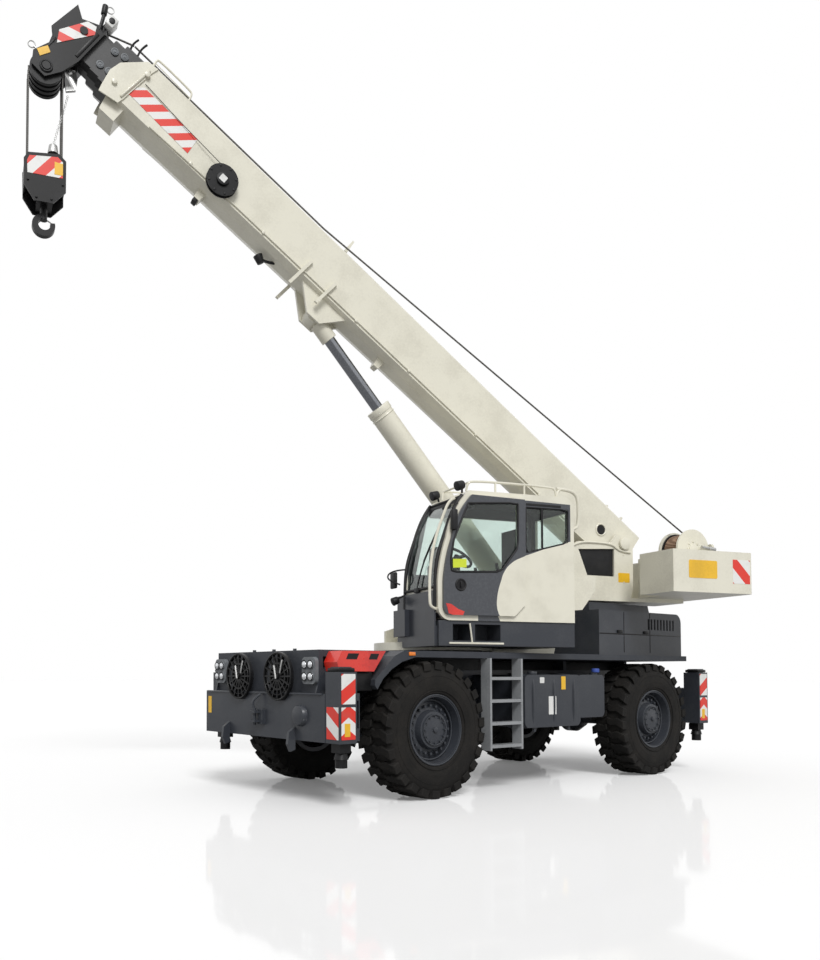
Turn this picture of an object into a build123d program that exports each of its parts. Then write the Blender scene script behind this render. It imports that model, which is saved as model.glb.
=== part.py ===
from build123d import *
import os
import math

os.makedirs("parts", exist_ok=True)

# Millimetres. X runs forward, Y to the left and Z up; the ground is Z = 0.
# The carrier's own origin is on the ground, midway between the axles.
mid_x = 1164.0
mid_y = 396.6

# Wheels and axles
wheel_base = 4050.0
track = 2200.0
tyre_d = 1490.0
tyre_w = 480.0
rim_r = 385.0
hub_r = 198.0
axle_z = tyre_d / 2
king_y = 800.0
king_r = 60.0
seat_gap = 0.3
side_gap = 5.0

# Chassis and deck
frame_half = 430.0
frame_z0 = 900.0
frame_z1 = 1400.0
deck_z = 1530.0
deck_t = 70.0
deck_half = 1250.0
front_face = 3440.0
rear_face = -3400.0
box_len = 450.0
box_half = 1190.0
box_z0 = 660.0
box_z1 = 1150.0
panel_half = 1010.0
fender_x = 2420.0

# Outrigger beams
beam_w = 190.0
beam_h = 280.0
beam_z0 = 790.0
beam_step = 112.0
housing_half = 108.0
housing_z0 = 660.0
housing_z1 = 1370.0
jack_r = 52.0
foot_r = 62.0
foot_z = 415.0

# Upper works
slew_x = 800.0
slew_deg = -15.5
luff_deg = 36.7
ring_r = 620.0
ring_z0 = 1400.0
ring_z1 = 1640.0
foot_x = -2807.0
foot_z_up = 3132.0
lift_x = -1400.0
lift_z = 2130.0
rod_u = 5140.0
rod_v = -550.0
barrel_r = 150.0
eye_r = 135.0
eye_half = 130.0
rod_r = 72.0
rod_start = 1480.0
barrel_len = 3375.0

# Boom: half width, top, bottom, wall, rear end and front end of each section
boom_sizes = {
    "boom_base": (210.0, 306.0, -380.0, 14.0, -200.0, 8330.0),
    "boom_mid_one": (182.0, 273.0, -347.0, 12.0, 900.0, 8640.0),
    "boom_mid_two": (156.0, 241.0, -315.0, 12.0, 1000.0, 8770.0),
    "boom_tip": (130.0, 209.0, -283.0, 12.0, 1100.0, 8890.0),
}
boom_rise = 40.0
tip_top = boom_sizes["boom_tip"][1]
tip_end = boom_sizes["boom_tip"][5]
head_plate_t = 20.0
sheave_r = 175.0
head_u = tip_end + head_plate_t + sheave_r + 2
head_v = -637.0
top_sheave_r = 140.0
top_sheave_u = tip_end + head_plate_t + top_sheave_r + 10
top_sheave_v = 0.0
fall_len = 977.0
rope_r = 8.0

# Cab
cab_y0 = 420.0
cab_y1 = 1270.0
cab_wall = 40.0
cab_x0 = -1235.0
cab_x1 = 617.0
cab_z0 = 1960.0
cab_z1 = 3470.0
post_w = 70.0
pane_t = 6.0
pane_in = 14.0
sill_z = 2330.0
door_t = 32.0
door_x0 = -520.0

# Counterweight and winch
weight_x0 = -4030.0
weight_x1 = -2710.0
weight_half = 1300.0
weight_z0 = 2390.0
weight_z1 = 2930.0
winch_back = 893.0
winch_x = foot_x - winch_back
winch_z = 3060.0
winch_y0 = 290.0
winch_y1 = 570.0
winch_r = 270.0
drum_r = 200.0
flange_r = 245.0

carrier = Plane(origin=(-mid_x, -mid_y, 0), x_dir=(1, 0, 0), z_dir=(0, 0, 1))
turn = math.radians(slew_deg)
upper = Plane(origin=carrier.from_local_coords(Vector(slew_x, 0, 0)), x_dir=(math.cos(turn), math.sin(turn), 0), z_dir=(0, 0, 1))
lean = math.radians(luff_deg)
foot_point = upper.from_local_coords(Vector(foot_x, 0, foot_z_up))
boom = Plane(
    origin=foot_point,
    x_dir=upper.x_dir * math.cos(lean) + upper.z_dir * math.sin(lean),
    z_dir=upper.z_dir * math.cos(lean) - upper.x_dir * math.sin(lean),
)


def level(frame, z):
    """Sketch plane at height z of a frame; sketch x, y are the frame's x, y."""
    return Plane(origin=frame.from_local_coords(Vector(0, 0, z)), x_dir=frame.x_dir, z_dir=frame.z_dir)


def profile(frame, y):
    """Upright sketch plane at y of a frame; sketch x, y are the frame's x, z."""
    return Plane(origin=frame.from_local_coords(Vector(0, y, 0)), x_dir=frame.x_dir, z_dir=-frame.y_dir)


def section(frame, x):
    """Sketch plane across a frame at x; sketch x, y are the frame's y, z."""
    return Plane(origin=frame.from_local_coords(Vector(x, 0, 0)), x_dir=frame.y_dir, z_dir=frame.x_dir)


def block(frame, x0, x1, y0, y1, z0, z1, mode=Mode.ADD):
    """A box between two corners of a frame."""
    with BuildSketch(level(frame, z0), mode=Mode.PRIVATE) as outline:
        with Locations(((x0 + x1) / 2, (y0 + y1) / 2)):
            Rectangle(x1 - x0, y1 - y0)
    extrude(outline.sketch, amount=z1 - z0, mode=mode)


def slab(frame, points, y0, y1, mode=Mode.ADD):
    """A side outline of x, z points made thick from y0 to y1."""
    with BuildSketch(profile(frame, y1), mode=Mode.PRIVATE) as outline:
        with BuildLine():
            Polyline(points, close=True)
        make_face()
    extrude(outline.sketch, amount=y1 - y0, mode=mode)


def drum(frame, x, z, radius, y0, y1, mode=Mode.ADD):
    """A cylinder lying along y."""
    with BuildSketch(profile(frame, y1), mode=Mode.PRIVATE) as outline:
        with Locations((x, z)):
            Circle(radius)
    extrude(outline.sketch, amount=y1 - y0, mode=mode)


def post(frame, x, y, radius, z0, z1, mode=Mode.ADD):
    """A standing cylinder."""
    with BuildSketch(level(frame, z0), mode=Mode.PRIVATE) as outline:
        with Locations((x, y)):
            Circle(radius)
    extrude(outline.sketch, amount=z1 - z0, mode=mode)


def shaft(frame, y, z, radius, x0, x1, mode=Mode.ADD):
    """A cylinder lying along x."""
    with BuildSketch(section(frame, x0), mode=Mode.PRIVATE) as outline:
        with Locations((y, z)):
            Circle(radius)
    extrude(outline.sketch, amount=x1 - x0, mode=mode)


def lathe(frame, x, z, points):
    """A solid turned about a line along y through x, z; points are radius, y."""
    plane = Plane(
        origin=frame.from_local_coords(Vector(x, 0, z)),
        x_dir=frame.z_dir,
        z_dir=frame.x_dir * -1,
    )
    side = 1 if plane.y_dir.dot(frame.y_dir) > 0 else -1
    with BuildSketch(plane, mode=Mode.PRIVATE) as outline:
        with BuildLine():
            Polyline([(r, side * y) for r, y in points], close=True)
        make_face()
    revolve(outline.sketch, axis=Axis(plane.origin, frame.y_dir))


# Chassis: two box rails, cross members, an outrigger box at each end and towing gear in front
channel_top = beam_z0 + beam_h + side_gap
with BuildPart() as chassis:
    rail_x0 = rear_face + box_len
    rail_x1 = front_face - box_len
    for side in (-1, 1):
        ys = sorted((side * frame_half, side * (frame_half - 160)))
        block(carrier, rail_x0, rail_x1, ys[0], ys[1], frame_z0, frame_z1)
    for x in (-2900, -1150, -600, 600, 1150, 2700):
        block(carrier, x - 50, x + 50, -frame_half + 100, frame_half - 100, frame_z0, frame_z1)
    block(carrier, slew_x - 1500, slew_x + 700, -frame_half, frame_half, frame_z1 - 20, frame_z1)
    for x0 in (front_face - box_len, rear_face):
        block(carrier, x0, x0 + box_len, -box_half, box_half, box_z0, box_z1)
        for x in (x0 + beam_step, x0 + box_len - beam_step):
            block(carrier, x - beam_w / 2 - side_gap, x + beam_w / 2 + side_gap,
                  -box_half - 1, box_half + 1, beam_z0, channel_top, mode=Mode.SUBTRACT)
    for side in (-1, 1):
        ys = sorted((side * 640, side * 680))
        slab(carrier, [(front_face - 1, 560), (front_face + 60, 540), (front_face + 95, 620),
                       (front_face + 80, 740), (front_face - 1, 800)], ys[0], ys[1])
    block(carrier, front_face - 1, front_face + 40, -110, 110, 800, 960)
    for z in (820, 920):
        block(carrier, front_face, front_face + 110, -60, 60, z, z + 25)
    post(carrier, front_face + 75, 0, 22, 790, 975)

# Beams with the jack housing at the end
beam_rows = {
    "front_left": (front_face - beam_step, 1),
    "front_right": (front_face - box_len + beam_step, -1),
    "rear_left": (rear_face + box_len - beam_step, 1),
    "rear_right": (rear_face + beam_step, -1),
}
beams = {}
jacks = {}
for name, (x, side) in beam_rows.items():
    inner = -side * (box_half - 60)
    tube_in = side * (box_half + side_gap)
    tube_out = side * (box_half + 235)
    mid = (tube_in + tube_out) / 2
    with BuildPart() as beams[name]:
        ys = sorted((inner, tube_in))
        block(carrier, x - beam_w / 2, x + beam_w / 2, ys[0], ys[1], beam_z0 + seat_gap, beam_z0 + beam_h)
        block(carrier, x - beam_w / 2 + 12, x + beam_w / 2 - 12, ys[0] - 1, ys[1] + 1,
              beam_z0 + 12, beam_z0 + beam_h - 12, mode=Mode.SUBTRACT)
        ys = sorted((tube_in, tube_out))
        block(carrier, x - housing_half, x + housing_half, ys[0], ys[1], housing_z0, housing_z1)
        block(carrier, x - 75, x + 75, ys[0] + 40, ys[1] - 40, housing_z1, housing_z1 + 50)
        post(carrier, x, mid, jack_r + seat_gap, housing_z0 - 1, housing_z1 - 20, mode=Mode.SUBTRACT)
    with BuildPart() as jacks[name]:
        post(carrier, x, mid, jack_r, foot_z + 60, housing_z1 - 30)
        post(carrier, x, mid, foot_r, foot_z, foot_z + 90)
        block(carrier, x - 70, x + 70, mid - 70, mid + 70, foot_z + 150, housing_z0 - side_gap)

# Axles with a steering pin at each end
with BuildPart() as axles:
    for x in (wheel_base / 2, -wheel_base / 2):
        drum(carrier, x, axle_z, 105, -690, 690)
        lathe(carrier, x, axle_z, [(0, -235), (150, -190), (225, -70), (225, 70), (150, 190), (0, 235)])
        for side in (-1, 1):
            ys = sorted((side * 640, side * king_y))
            block(carrier, x - 55, x + 55, ys[0], ys[1], axle_z - 85, axle_z + 85)
            post(carrier, x, side * king_y, king_r, axle_z - 165, axle_z + 165)
            ys = sorted((side * (frame_half - 160), side * frame_half))
            block(carrier, x - 90, x + 90, ys[0], ys[1], axle_z + 60, frame_z0)

# Steering knuckles and wheels
corner_rows = {
    "front_left": (wheel_base / 2, 1),
    "front_right": (wheel_base / 2, -1),
    "rear_left": (-wheel_base / 2, 1),
    "rear_right": (-wheel_base / 2, -1),
}
disc_in = 1150.0
knuckles = {}
tyres = {}
rims = {}
for name, (x, side) in corner_rows.items():
    with BuildPart() as knuckles[name]:
        for z in (axle_z + 165 - 40, axle_z - 165):
            ys = sorted((side * (king_y - 75), side * 930))
            block(carrier, x - 100, x + 100, ys[0], ys[1], z, z + 40)
            post(carrier, x, side * king_y, king_r + seat_gap, z - 1, z + 41, mode=Mode.SUBTRACT)
        ys = sorted((side * 895, side * 930))
        block(carrier, x - 130, x + 130, ys[0], ys[1], axle_z - 165, axle_z + 165)
        ys = sorted((side * 930, side * (disc_in - seat_gap)))
        drum(carrier, x, axle_z, 180, ys[0], ys[1])
    mid = side * track / 2
    half = tyre_w / 2
    outer = tyre_d / 2
    with BuildPart() as tyres[name]:
        lathe(carrier, x, axle_z, [
            (rim_r + seat_gap, mid - half + 35),
            (rim_r + 110, mid - half),
            (outer - 110, mid - half),
            (outer, mid - half + 60),
            (outer, mid + half - 60),
            (outer - 110, mid + half),
            (rim_r + 110, mid + half),
            (rim_r + seat_gap, mid + half - 35),
        ])
    with BuildPart() as rims[name]:
        face = side * disc_in
        lathe(carrier, x, axle_z, [
            (rim_r, mid - half + 30),
            (rim_r, mid + half - 30),
            (rim_r - 28, mid + half - 30),
            (rim_r - 50, mid + side * 60),
            (rim_r - 50, mid - half + 30),
        ] if side > 0 else [
            (rim_r, mid + half - 30),
            (rim_r, mid - half + 30),
            (rim_r - 28, mid - half + 30),
            (rim_r - 50, mid - 60),
            (rim_r - 50, mid + half - 30),
        ])
        lathe(carrier, x, axle_z, [
            (0, face),
            (rim_r - 40, face),
            (rim_r - 40, face + side * 25),
            (hub_r + 20, face + side * 60),
            (hub_r, face + side * 130),
            (0, face + side * 145),
        ])

# Deck plates, sloped front fenders and the upright front panel
deck_top = deck_z + deck_t
panel_x = front_face - 60
with BuildPart() as deck:
    block(carrier, -2940, fender_x, -deck_half, deck_half, deck_z, deck_top)
    block(carrier, fender_x, panel_x, -panel_half, panel_half, deck_z, deck_top)
    block(carrier, slew_x - ring_r - 160, slew_x + ring_r + 160, -ring_r - 160, ring_r + 160,
          deck_z - 1, deck_top + 1, mode=Mode.SUBTRACT)
    for side in (-1, 1):
        ys = sorted((side * 700, side * deck_half))
        slab(carrier, [(fender_x - 160, deck_z), (fender_x, deck_top), (2560, deck_top - 60), (2830, 1290),
                       (2835, 1230), (2800, 1190), (2720, 1300), (2600, 1400), (2450, 1480)], ys[0], ys[1])
    slab(carrier, [(panel_x, box_z1), (panel_x, deck_top), (panel_x - 50, deck_top), (panel_x - 60, box_z1)],
         -panel_half, panel_half)
    for x in (-2700, -1300, 2300):
        block(carrier, x - 30, x + 30, -frame_half, frame_half, frame_z1, deck_z)

# Sloped cover with its housing on the left front corner
cover_y0 = panel_half
with BuildPart() as red_cover:
    slab(carrier, [(3316, 1470), (3252, 1586), (2666, 1591), (2829, 1375), (3291, 1379)], cover_y0, deck_half - 20)

# Engine hood with a rounded rear edge and a raised lid
hood_x = -1150.0
hood_tail = -3060.0
louvres = 9
hood_half = 1100.0
hood_z = 2200.0
lid_z = 2310.0
with BuildPart() as hood:
    with BuildSketch(profile(carrier, hood_half)) as hood_side:
        with BuildLine():
            Polyline((hood_x, hood_z), (hood_x, deck_top), (hood_tail, deck_top), (hood_tail, hood_z - 130))
            ThreePointArc((hood_tail, hood_z - 130), (hood_tail + 35, hood_z - 40), (hood_tail + 120, hood_z))
            Line((hood_tail + 120, hood_z), (hood_x, hood_z))
        make_face()
    extrude(amount=2 * hood_half)
    slab(carrier, [(hood_x, hood_z), (hood_x, lid_z), (-2480, lid_z), (-2520, hood_z)], -950, 950)
    for number in range(louvres):
        x = hood_tail + 180 + 75 * number
        for y0 in (-hood_half - 1, hood_half - 12):
            block(carrier, x, x + 35, y0, y0 + 13, 1960, 2110, mode=Mode.SUBTRACT)

# Fuel and oil tanks with rounded edges
with BuildPart() as tanks:
    for x0, x1, y0, y1, z0 in ((-490, 550, frame_half, 1290, 710), (-1050, -510, frame_half, 1240, 800),
                               (-1050, 500, -1290, -frame_half, 710)):
        with BuildSketch(profile(carrier, y1), mode=Mode.PRIVATE) as tank_side:
            with Locations(((x0 + x1) / 2, (z0 + 1340) / 2)):
                RectangleRounded(x1 - x0, 1340 - z0, 70)
        extrude(tank_side.sketch, amount=y1 - y0)
with BuildPart() as ladders:
    for side in (-1, 1):
        ys = sorted((side * (deck_half - 100), side * (deck_half + 40)))
        for x in (600, 1130):
            block(carrier, x - 15, x + 15, ys[0], ys[1], 470, deck_z)
        for z in (500, 760, 1020, 1280):
            block(carrier, 615, 1115, ys[0], ys[1], z, z + 35)

# Stowed round floats with spokes, on the front panel
float_z = 1325.0
float_r = 262.0
float_y = 395.0
spokes = 8
with BuildPart() as floats:
    for y in (-float_y, float_y):
        shaft(carrier, y, float_z, float_z - box_z1 - side_gap, panel_x, front_face + side_gap)
        with BuildSketch(section(carrier, front_face + side_gap), mode=Mode.PRIVATE) as float_face:
            with Locations((y, float_z)):
                Circle(float_r)
                Circle(float_r - 22, mode=Mode.SUBTRACT)
                Circle(150)
                Circle(132, mode=Mode.SUBTRACT)
                Circle(60)
                for number in range(spokes):
                    Rectangle(2 * float_r - 20, 16, rotation=180 / spokes * number)
        extrude(float_face.sketch, amount=35)

# Headlamp plates with round lamps
lamp_y = 890.0
lamp_z = 1385.0
lamp_r = 48.0
with BuildPart() as headlamps:
    for side in (-1, 1):
        with BuildSketch(section(carrier, panel_x), mode=Mode.PRIVATE) as lamp_plate:
            with Locations((side * lamp_y, lamp_z)):
                RectangleRounded(230, 280, 50)
        extrude(lamp_plate.sketch, amount=45)
        for dy in (-lamp_r - 4, lamp_r + 4):
            for dz in (-lamp_r - 14, lamp_r + 14):
                shaft(carrier, side * lamp_y + dy, lamp_z + dz, lamp_r, panel_x + 44, panel_x + 62)

# Slewing ring on the chassis
with BuildPart() as slew_ring:
    post(carrier, slew_x, 0, ring_r, ring_z0, ring_z1)
    post(carrier, slew_x, 0, ring_r - 90, ring_z0 - 1, ring_z1 + 1, mode=Mode.SUBTRACT)

# Turntable: base disc, floor and two cheek plates that carry the boom foot
cheek_in = boom_sizes["boom_base"][0] + 30
cheek_out = cheek_in + 40
tail_z = 2340.0
floor_z0 = 1612.0
floor_z1 = 1650.0
disc_z1 = 1740.0
with BuildPart() as turntable:
    post(upper, 0, 0, ring_r + 130, ring_z1 + seat_gap, disc_z1)
    block(upper, -1650, -700, -cheek_out, cheek_out, floor_z0, floor_z1)
    for y0, y1 in ((cheek_in, cheek_out), (-cheek_out, -cheek_in)):
        slab(upper, [(550, ring_z1 + 20), (550, ring_z1 + 260), (-700, ring_z1 + 660),
                     (foot_x + 859, foot_z_up - 57), (foot_x + 746, foot_z_up + 2), (foot_x + 207, foot_z_up + 8),
                     (foot_x + 127, foot_z_up + 118), (foot_x - 153, foot_z_up + 126), (foot_x - 153, tail_z + 200),
                     (foot_x - 103, tail_z), (foot_x + 937, tail_z), (-1650, floor_z0), (-700, floor_z0),
                     (-700, ring_z1 + 20)], y0, y1)
        drum(upper, foot_x, foot_z_up, 61, y0 - 1, y1 + 1, mode=Mode.SUBTRACT)
        drum(upper, lift_x, lift_z, 71, y0 - 1, y1 + 1, mode=Mode.SUBTRACT)
    slab(upper, [(-2060, 3027), (-2649, 3056), (-2643, 2675), (-2200, 2679)], cheek_in - 1, cheek_out + 1,
         mode=Mode.SUBTRACT)
    block(upper, weight_x0 + 200, -1870, -cheek_out, cheek_out, tail_z, weight_z0)

# Pins for the boom foot and stub pins for the lift barrel
with BuildPart() as pivot_pins:
    drum(upper, foot_x, foot_z_up, 61, -cheek_out - 25, cheek_out + 25)
    for y0, y1 in ((eye_half + side_gap, cheek_out), (-cheek_out, -eye_half - side_gap)):
        drum(upper, lift_x, lift_z, 71, y0, y1)

# Counterweight and winch
with BuildPart() as counterweight:
    block(upper, weight_x0, weight_x1, -weight_half, weight_half, weight_z0, weight_z1)
    block(upper, -3330, weight_x1 + 1, -cheek_out, cheek_out, weight_z0 - 1, weight_z1 + 1, mode=Mode.SUBTRACT)
    block(upper, -3050, weight_x1 + 1, -700, 700, weight_z0 - 1, weight_z1 + 1, mode=Mode.SUBTRACT)
    block(upper, winch_x - flange_r - 10, winch_x + flange_r + 10, winch_y0 - side_gap, winch_y1 + side_gap,
          winch_z - flange_r - 10, weight_z1 + 1, mode=Mode.SUBTRACT)
    vertical = [edge for edge in edges().filter_by(Axis.Z) if abs(upper.to_local_coords(edge.center()).X - weight_x0) < 1]
    fillet(vertical, radius=60)
with BuildPart() as winch_frame:
    for y0, y1 in ((winch_y1 + 10, winch_y1 + 40), (winch_y0 - 40, winch_y0 - 10)):
        slab(upper, [(winch_x + 330, weight_z1), (winch_x + 300, weight_z1 + 90), (winch_x + 230, weight_z1 + 120),
                     (winch_x, winch_z), (winch_x - 230, weight_z1 + 120), (winch_x - 310, weight_z1)], y0, y1)
        drum(upper, winch_x, winch_z, winch_r, y0, y1)
        block(upper, winch_x - 400, winch_x + 400, y0 - 1, y1 + 1, weight_z1 - 250, weight_z1, mode=Mode.SUBTRACT)
        drum(upper, winch_x, winch_z, 50 + seat_gap, y0 - 1, y1 + 1, mode=Mode.SUBTRACT)
with BuildPart() as winch_drum:
    drum(upper, winch_x, winch_z, drum_r, winch_y0, winch_y1)
    drum(upper, winch_x, winch_z, 50, winch_y0 - 50, winch_y1 + 50)
    for y in (winch_y0, winch_y1 - 16):
        drum(upper, winch_x, winch_z, flange_r, y, y + 16)

def cab_outline(y, gap=0.0):
    """The cab's side outline at y, moved in by a gap; shell, panes and door share it."""
    with BuildSketch(profile(upper, y), mode=Mode.PRIVATE) as outline:
        with BuildLine():
            Line((cab_x0, cab_z0), (cab_x0, cab_z1 - 145))
            RadiusArc((cab_x0, cab_z1 - 145), (cab_x0 + 145, cab_z1), 145)
            Line((cab_x0 + 145, cab_z1), (206, cab_z1 - 8))
            ThreePointArc((206, cab_z1 - 8), (377, 3250), (509, 2904))
            ThreePointArc((509, 2904), (580, 2660), (cab_x1, 2400))
            Line((cab_x1, 2400), (cab_x1, 2116))
            RadiusArc((cab_x1, 2116), (461, cab_z0), 156)
            Line((461, cab_z0), (cab_x0, cab_z0))
        make_face()
        if gap:
            offset(amount=-gap)
    return outline.sketch


# Cab shell with door opening and windows
side_window = [(-563, 3317), (-1156, 3320), (-1151, 2921), (-557, 2772)]
far_window = [(300, 3300), (-1130, 3300), (-1130, 2560), (470, 2560)]
with BuildPart() as cab_shell:
    extrude(cab_outline(cab_y1), amount=cab_y1 - cab_y0)
    extrude(cab_outline(cab_y1 - cab_wall, cab_wall), amount=cab_y1 - cab_y0 - 2 * cab_wall, mode=Mode.SUBTRACT)
    slab(upper, side_window, cab_y1 - cab_wall - 1, cab_y1 + 1, mode=Mode.SUBTRACT)
    slab(upper, far_window, cab_y0 - 1, cab_y0 + cab_wall + 1, mode=Mode.SUBTRACT)
    slab(upper, [(240, 3330), (-440, 3370), (-440, 2100), (480, 2100), (510, 2644), (440, 2900)],
         cab_y1 - cab_wall - 1, cab_y1 + 1, mode=Mode.SUBTRACT)
    block(upper, cab_x0 - 1, cab_x0 + cab_wall + 1, cab_y0 + 120, cab_y1 - 120, 2560, 3300, mode=Mode.SUBTRACT)
    block(upper, 235, cab_x1 + 100, cab_y0 + post_w, cab_y1 - post_w, sill_z, 3400, mode=Mode.SUBTRACT)
with BuildPart() as cab_glass:
    pane_w = cab_y1 - cab_y0 - 2 * post_w
    extrude(cab_outline(cab_y1 - post_w, pane_in), amount=pane_w)
    extrude(cab_outline(cab_y1 - post_w, pane_in + pane_t), amount=pane_w, mode=Mode.SUBTRACT)
    block(upper, 235, cab_x1 + 100, cab_y0, cab_y1, sill_z, 3400, mode=Mode.INTERSECT)
    slab(upper, side_window, cab_y1 - 26, cab_y1 - 20)
    slab(upper, far_window, cab_y0 + 20, cab_y0 + 26)
    block(upper, cab_x0 + 14, cab_x0 + 20, cab_y0 + 120, cab_y1 - 120, 2560, 3300)

# Cab door, a sliding panel outside the shell
door_window = [(241, 3304), (-425, 3349), (-420, 2825), (-186, 2533), (460, 2507), (472, 2644), (432, 2874)]
door_in = cab_y1 + side_gap
door_out = door_in + door_t
with BuildPart() as cab_door:
    extrude(cab_outline(door_out, 52), amount=door_t)
    block(upper, door_x0, cab_x1, door_in, door_out, cab_z0 + 60, cab_z1 - 50, mode=Mode.INTERSECT)
    slab(upper, [(door_x0 - 1, 2160), (door_x0 + 150, cab_z0 + 59), (door_x0 - 1, cab_z0 + 59)],
         door_in - 1, door_out + 1, mode=Mode.SUBTRACT)
    slab(upper, door_window, cab_y1, door_out + 1, mode=Mode.SUBTRACT)
    for z in (cab_z0 + 140, cab_z1 - 95):
        block(upper, door_x0 + 60, 100, cab_y1 + seat_gap, door_in, z, z + 20)
with BuildPart() as door_glass:
    slab(upper, door_window, door_in + 12, door_in + 18)

# Cab base with step pockets, front panel and the box beside it
with BuildPart() as cab_base:
    block(upper, cab_x0 - 10, cab_x1 - 17, cheek_out, cab_y1 - 20, 1670, cab_z0)
    for x0, x1 in ((180, 420), (-210, 130)):
        block(upper, x0, x1, cab_y1 - 320, cab_y1, 1730, 1920, mode=Mode.SUBTRACT)
    block(upper, cab_x1, cab_x1 + 20, cheek_out, cab_y1 - 60, 1670, sill_z - 30)
    block(upper, 550, cab_x1 + 1, cheek_out, cab_y1 - 60, 1670, 1900)
    block(upper, cab_x1 + 20, cab_x1 + 83, 300, 600, 1800, 2120)
    post(upper, 0, 0, ring_r + 130 + side_gap, ring_z0, disc_z1, mode=Mode.SUBTRACT)
with BuildPart() as cab_seat:
    block(upper, -750, -250, 620, 1070, cab_z0 + cab_wall, cab_z0 + 480)
    block(upper, -750, -640, 620, 1070, cab_z0 + 480, cab_z0 + 1150)
    block(upper, 200, 420, 560, 1130, cab_z0 + cab_wall, cab_z0 + 560)
    wheel_plane = Plane(origin=upper.from_local_coords(Vector(120, 845, 2730)), x_dir=upper.y_dir,
                        z_dir=upper.z_dir - upper.x_dir * 0.7)
    with BuildSketch(wheel_plane, mode=Mode.PRIVATE) as steering_wheel:
        Circle(190)
        Circle(165, mode=Mode.SUBTRACT)
        Rectangle(350, 30)
        Circle(50)
    extrude(steering_wheel.sketch, amount=24)
    with BuildSketch(wheel_plane, mode=Mode.PRIVATE) as steering_column:
        Circle(40)
    extrude(steering_column.sketch, amount=-330)

# Cabinets beside the turntable
with BuildPart() as side_cabinets:
    block(upper, -1400, -100, -1150, -cheek_out, 1670, 2400)
    post(upper, 0, 0, ring_r + 130 + side_gap, ring_z0, disc_z1, mode=Mode.SUBTRACT)
    slab(upper, [(cab_x0 - 10, 2120), (-1515, 2141), (-1712, 2380), (-1714, 2565), (cab_x0 - 10, 2549)],
         cheek_out, 1050)

# Lift cylinder
lift_point = upper.from_local_coords(Vector(lift_x, 0, lift_z))
rod_point = boom.from_local_coords(Vector(rod_u, 0, rod_v))
lift_dir = (rod_point - lift_point).normalized()
lift_len = (rod_point - lift_point).length
cylinder = Plane(origin=lift_point, x_dir=lift_dir, z_dir=lift_dir.cross(upper.y_dir))
with BuildPart() as lift_barrel:
    shaft(cylinder, 0, 0, barrel_r, 120, barrel_len)
    drum(cylinder, 0, 0, eye_r, -eye_half, eye_half)
    shaft(cylinder, 0, 0, rod_r + seat_gap, 240, barrel_len + 1, mode=Mode.SUBTRACT)
with BuildPart() as lift_rod:
    shaft(cylinder, 0, 0, rod_r, rod_start, lift_len - 60)
    shaft(cylinder, 0, 0, 102, lift_len - 340, lift_len - 100)
    drum(cylinder, lift_len, 0, 108, -104, 104)
    drum(cylinder, lift_len, 0, 55 + seat_gap, -105, 105, mode=Mode.SUBTRACT)

# Boom sections, each a folded tube
sections = {}
names = list(boom_sizes)
for number, (name, (half, top, bottom, wall, u0, u1)) in enumerate(boom_sizes.items()):
    with BuildPart() as sections[name]:
        for cut, grow in ((0, Mode.ADD), (wall, Mode.SUBTRACT)):
            with BuildSketch(section(boom, u0), mode=Mode.PRIVATE) as outline:
                with BuildLine():
                    Polyline([
                        (half - cut, top - 30), (half - 30 - cut * 0.4, top - cut), (-half + 30 + cut * 0.4, top - cut),
                        (-half + cut, top - 30), (-half + cut, bottom + boom_rise + cut * 0.7),
                        (-half * 0.45, bottom + cut), (half * 0.45, bottom + cut),
                        (half - cut, bottom + boom_rise + cut * 0.7),
                    ], close=True)
                make_face()
            extrude(outline.sketch, amount=u1 - u0, mode=grow)
        if number + 1 < len(names):
            next_half, next_top, next_bottom = boom_sizes[names[number + 1]][:3]
            pad0, pad1 = u1 - 260, u1 - 40
            for side in (-1, 1):
                ys = sorted((side * (next_half + seat_gap), side * (half - wall + 1)))
                block(boom, pad0, pad1, ys[0], ys[1], -220, 80)
            block(boom, pad0, pad1, -60, 60, next_top + seat_gap, top - wall + 1)
            block(boom, pad0, pad1, -60, 60, bottom + wall - 1, next_bottom - seat_gap)
        if name == "boom_base":
            drum(boom, 0, 0, 130, -half - 29.7, half + 29.7)
            drum(boom, 0, 0, 61 + seat_gap, -half - 31, half + 31, mode=Mode.SUBTRACT)
            for y0 in (-150, 110):
                slab(boom, [(rod_u - 330, bottom + 18), (rod_u - 100, rod_v - 90), (rod_u + 100, rod_v - 90),
                            (rod_u + 380, bottom + 18)], y0, y0 + 40)
            drum(boom, rod_u, rod_v, 55, -150, 150)
            for y0, y1 in ((half, half + 16), (-half - 16, -half)):
                slab(boom, [(8234, 282), (8364, 261), (8566, 3), (8593, -150), (8552, -367), (8535, -435),
                            (8307, -387), (8290, -300), (8255, 185)], y0, y1)
            for y0 in (-half - 17, half - 14):
                drum(boom, 8474, -228, 34, y0, y0 + 31)
                drum(boom, 8270, 127, 34, y0, y0 + 31)
            slab(boom, [(8230, bottom + 1), (8230, -550), (8430, -550), (8470, bottom + 20), (8230, bottom + 20)],
                 -150, 150)
            for u, low in ((5582, -565), (5194, -513)):
                for y0, y1 in ((half, half + 40), (-half - 40, -half)):
                    slab(boom, [(u - 30, -140), (u + 10, -140), (u + 60, low), (u + 20, low)], y0, y1)
            for u in (7050, 4160):
                slab(boom, [(u - 60, bottom + 2), (u + 50, bottom + 2), (u + 30, bottom - 110),
                            (u - 40, bottom - 110)], -60, 60)
            for u, height in ((5325, 300), (380, 130), (90, 150)):
                slab(boom, [(u - 30, top - 2), (u + 30, top - 2), (u + 12, top + height), (u - 12, top + height)],
                     -20, 20)
boom_base = sections["boom_base"]
boom_mid_one = sections["boom_mid_one"]
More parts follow.
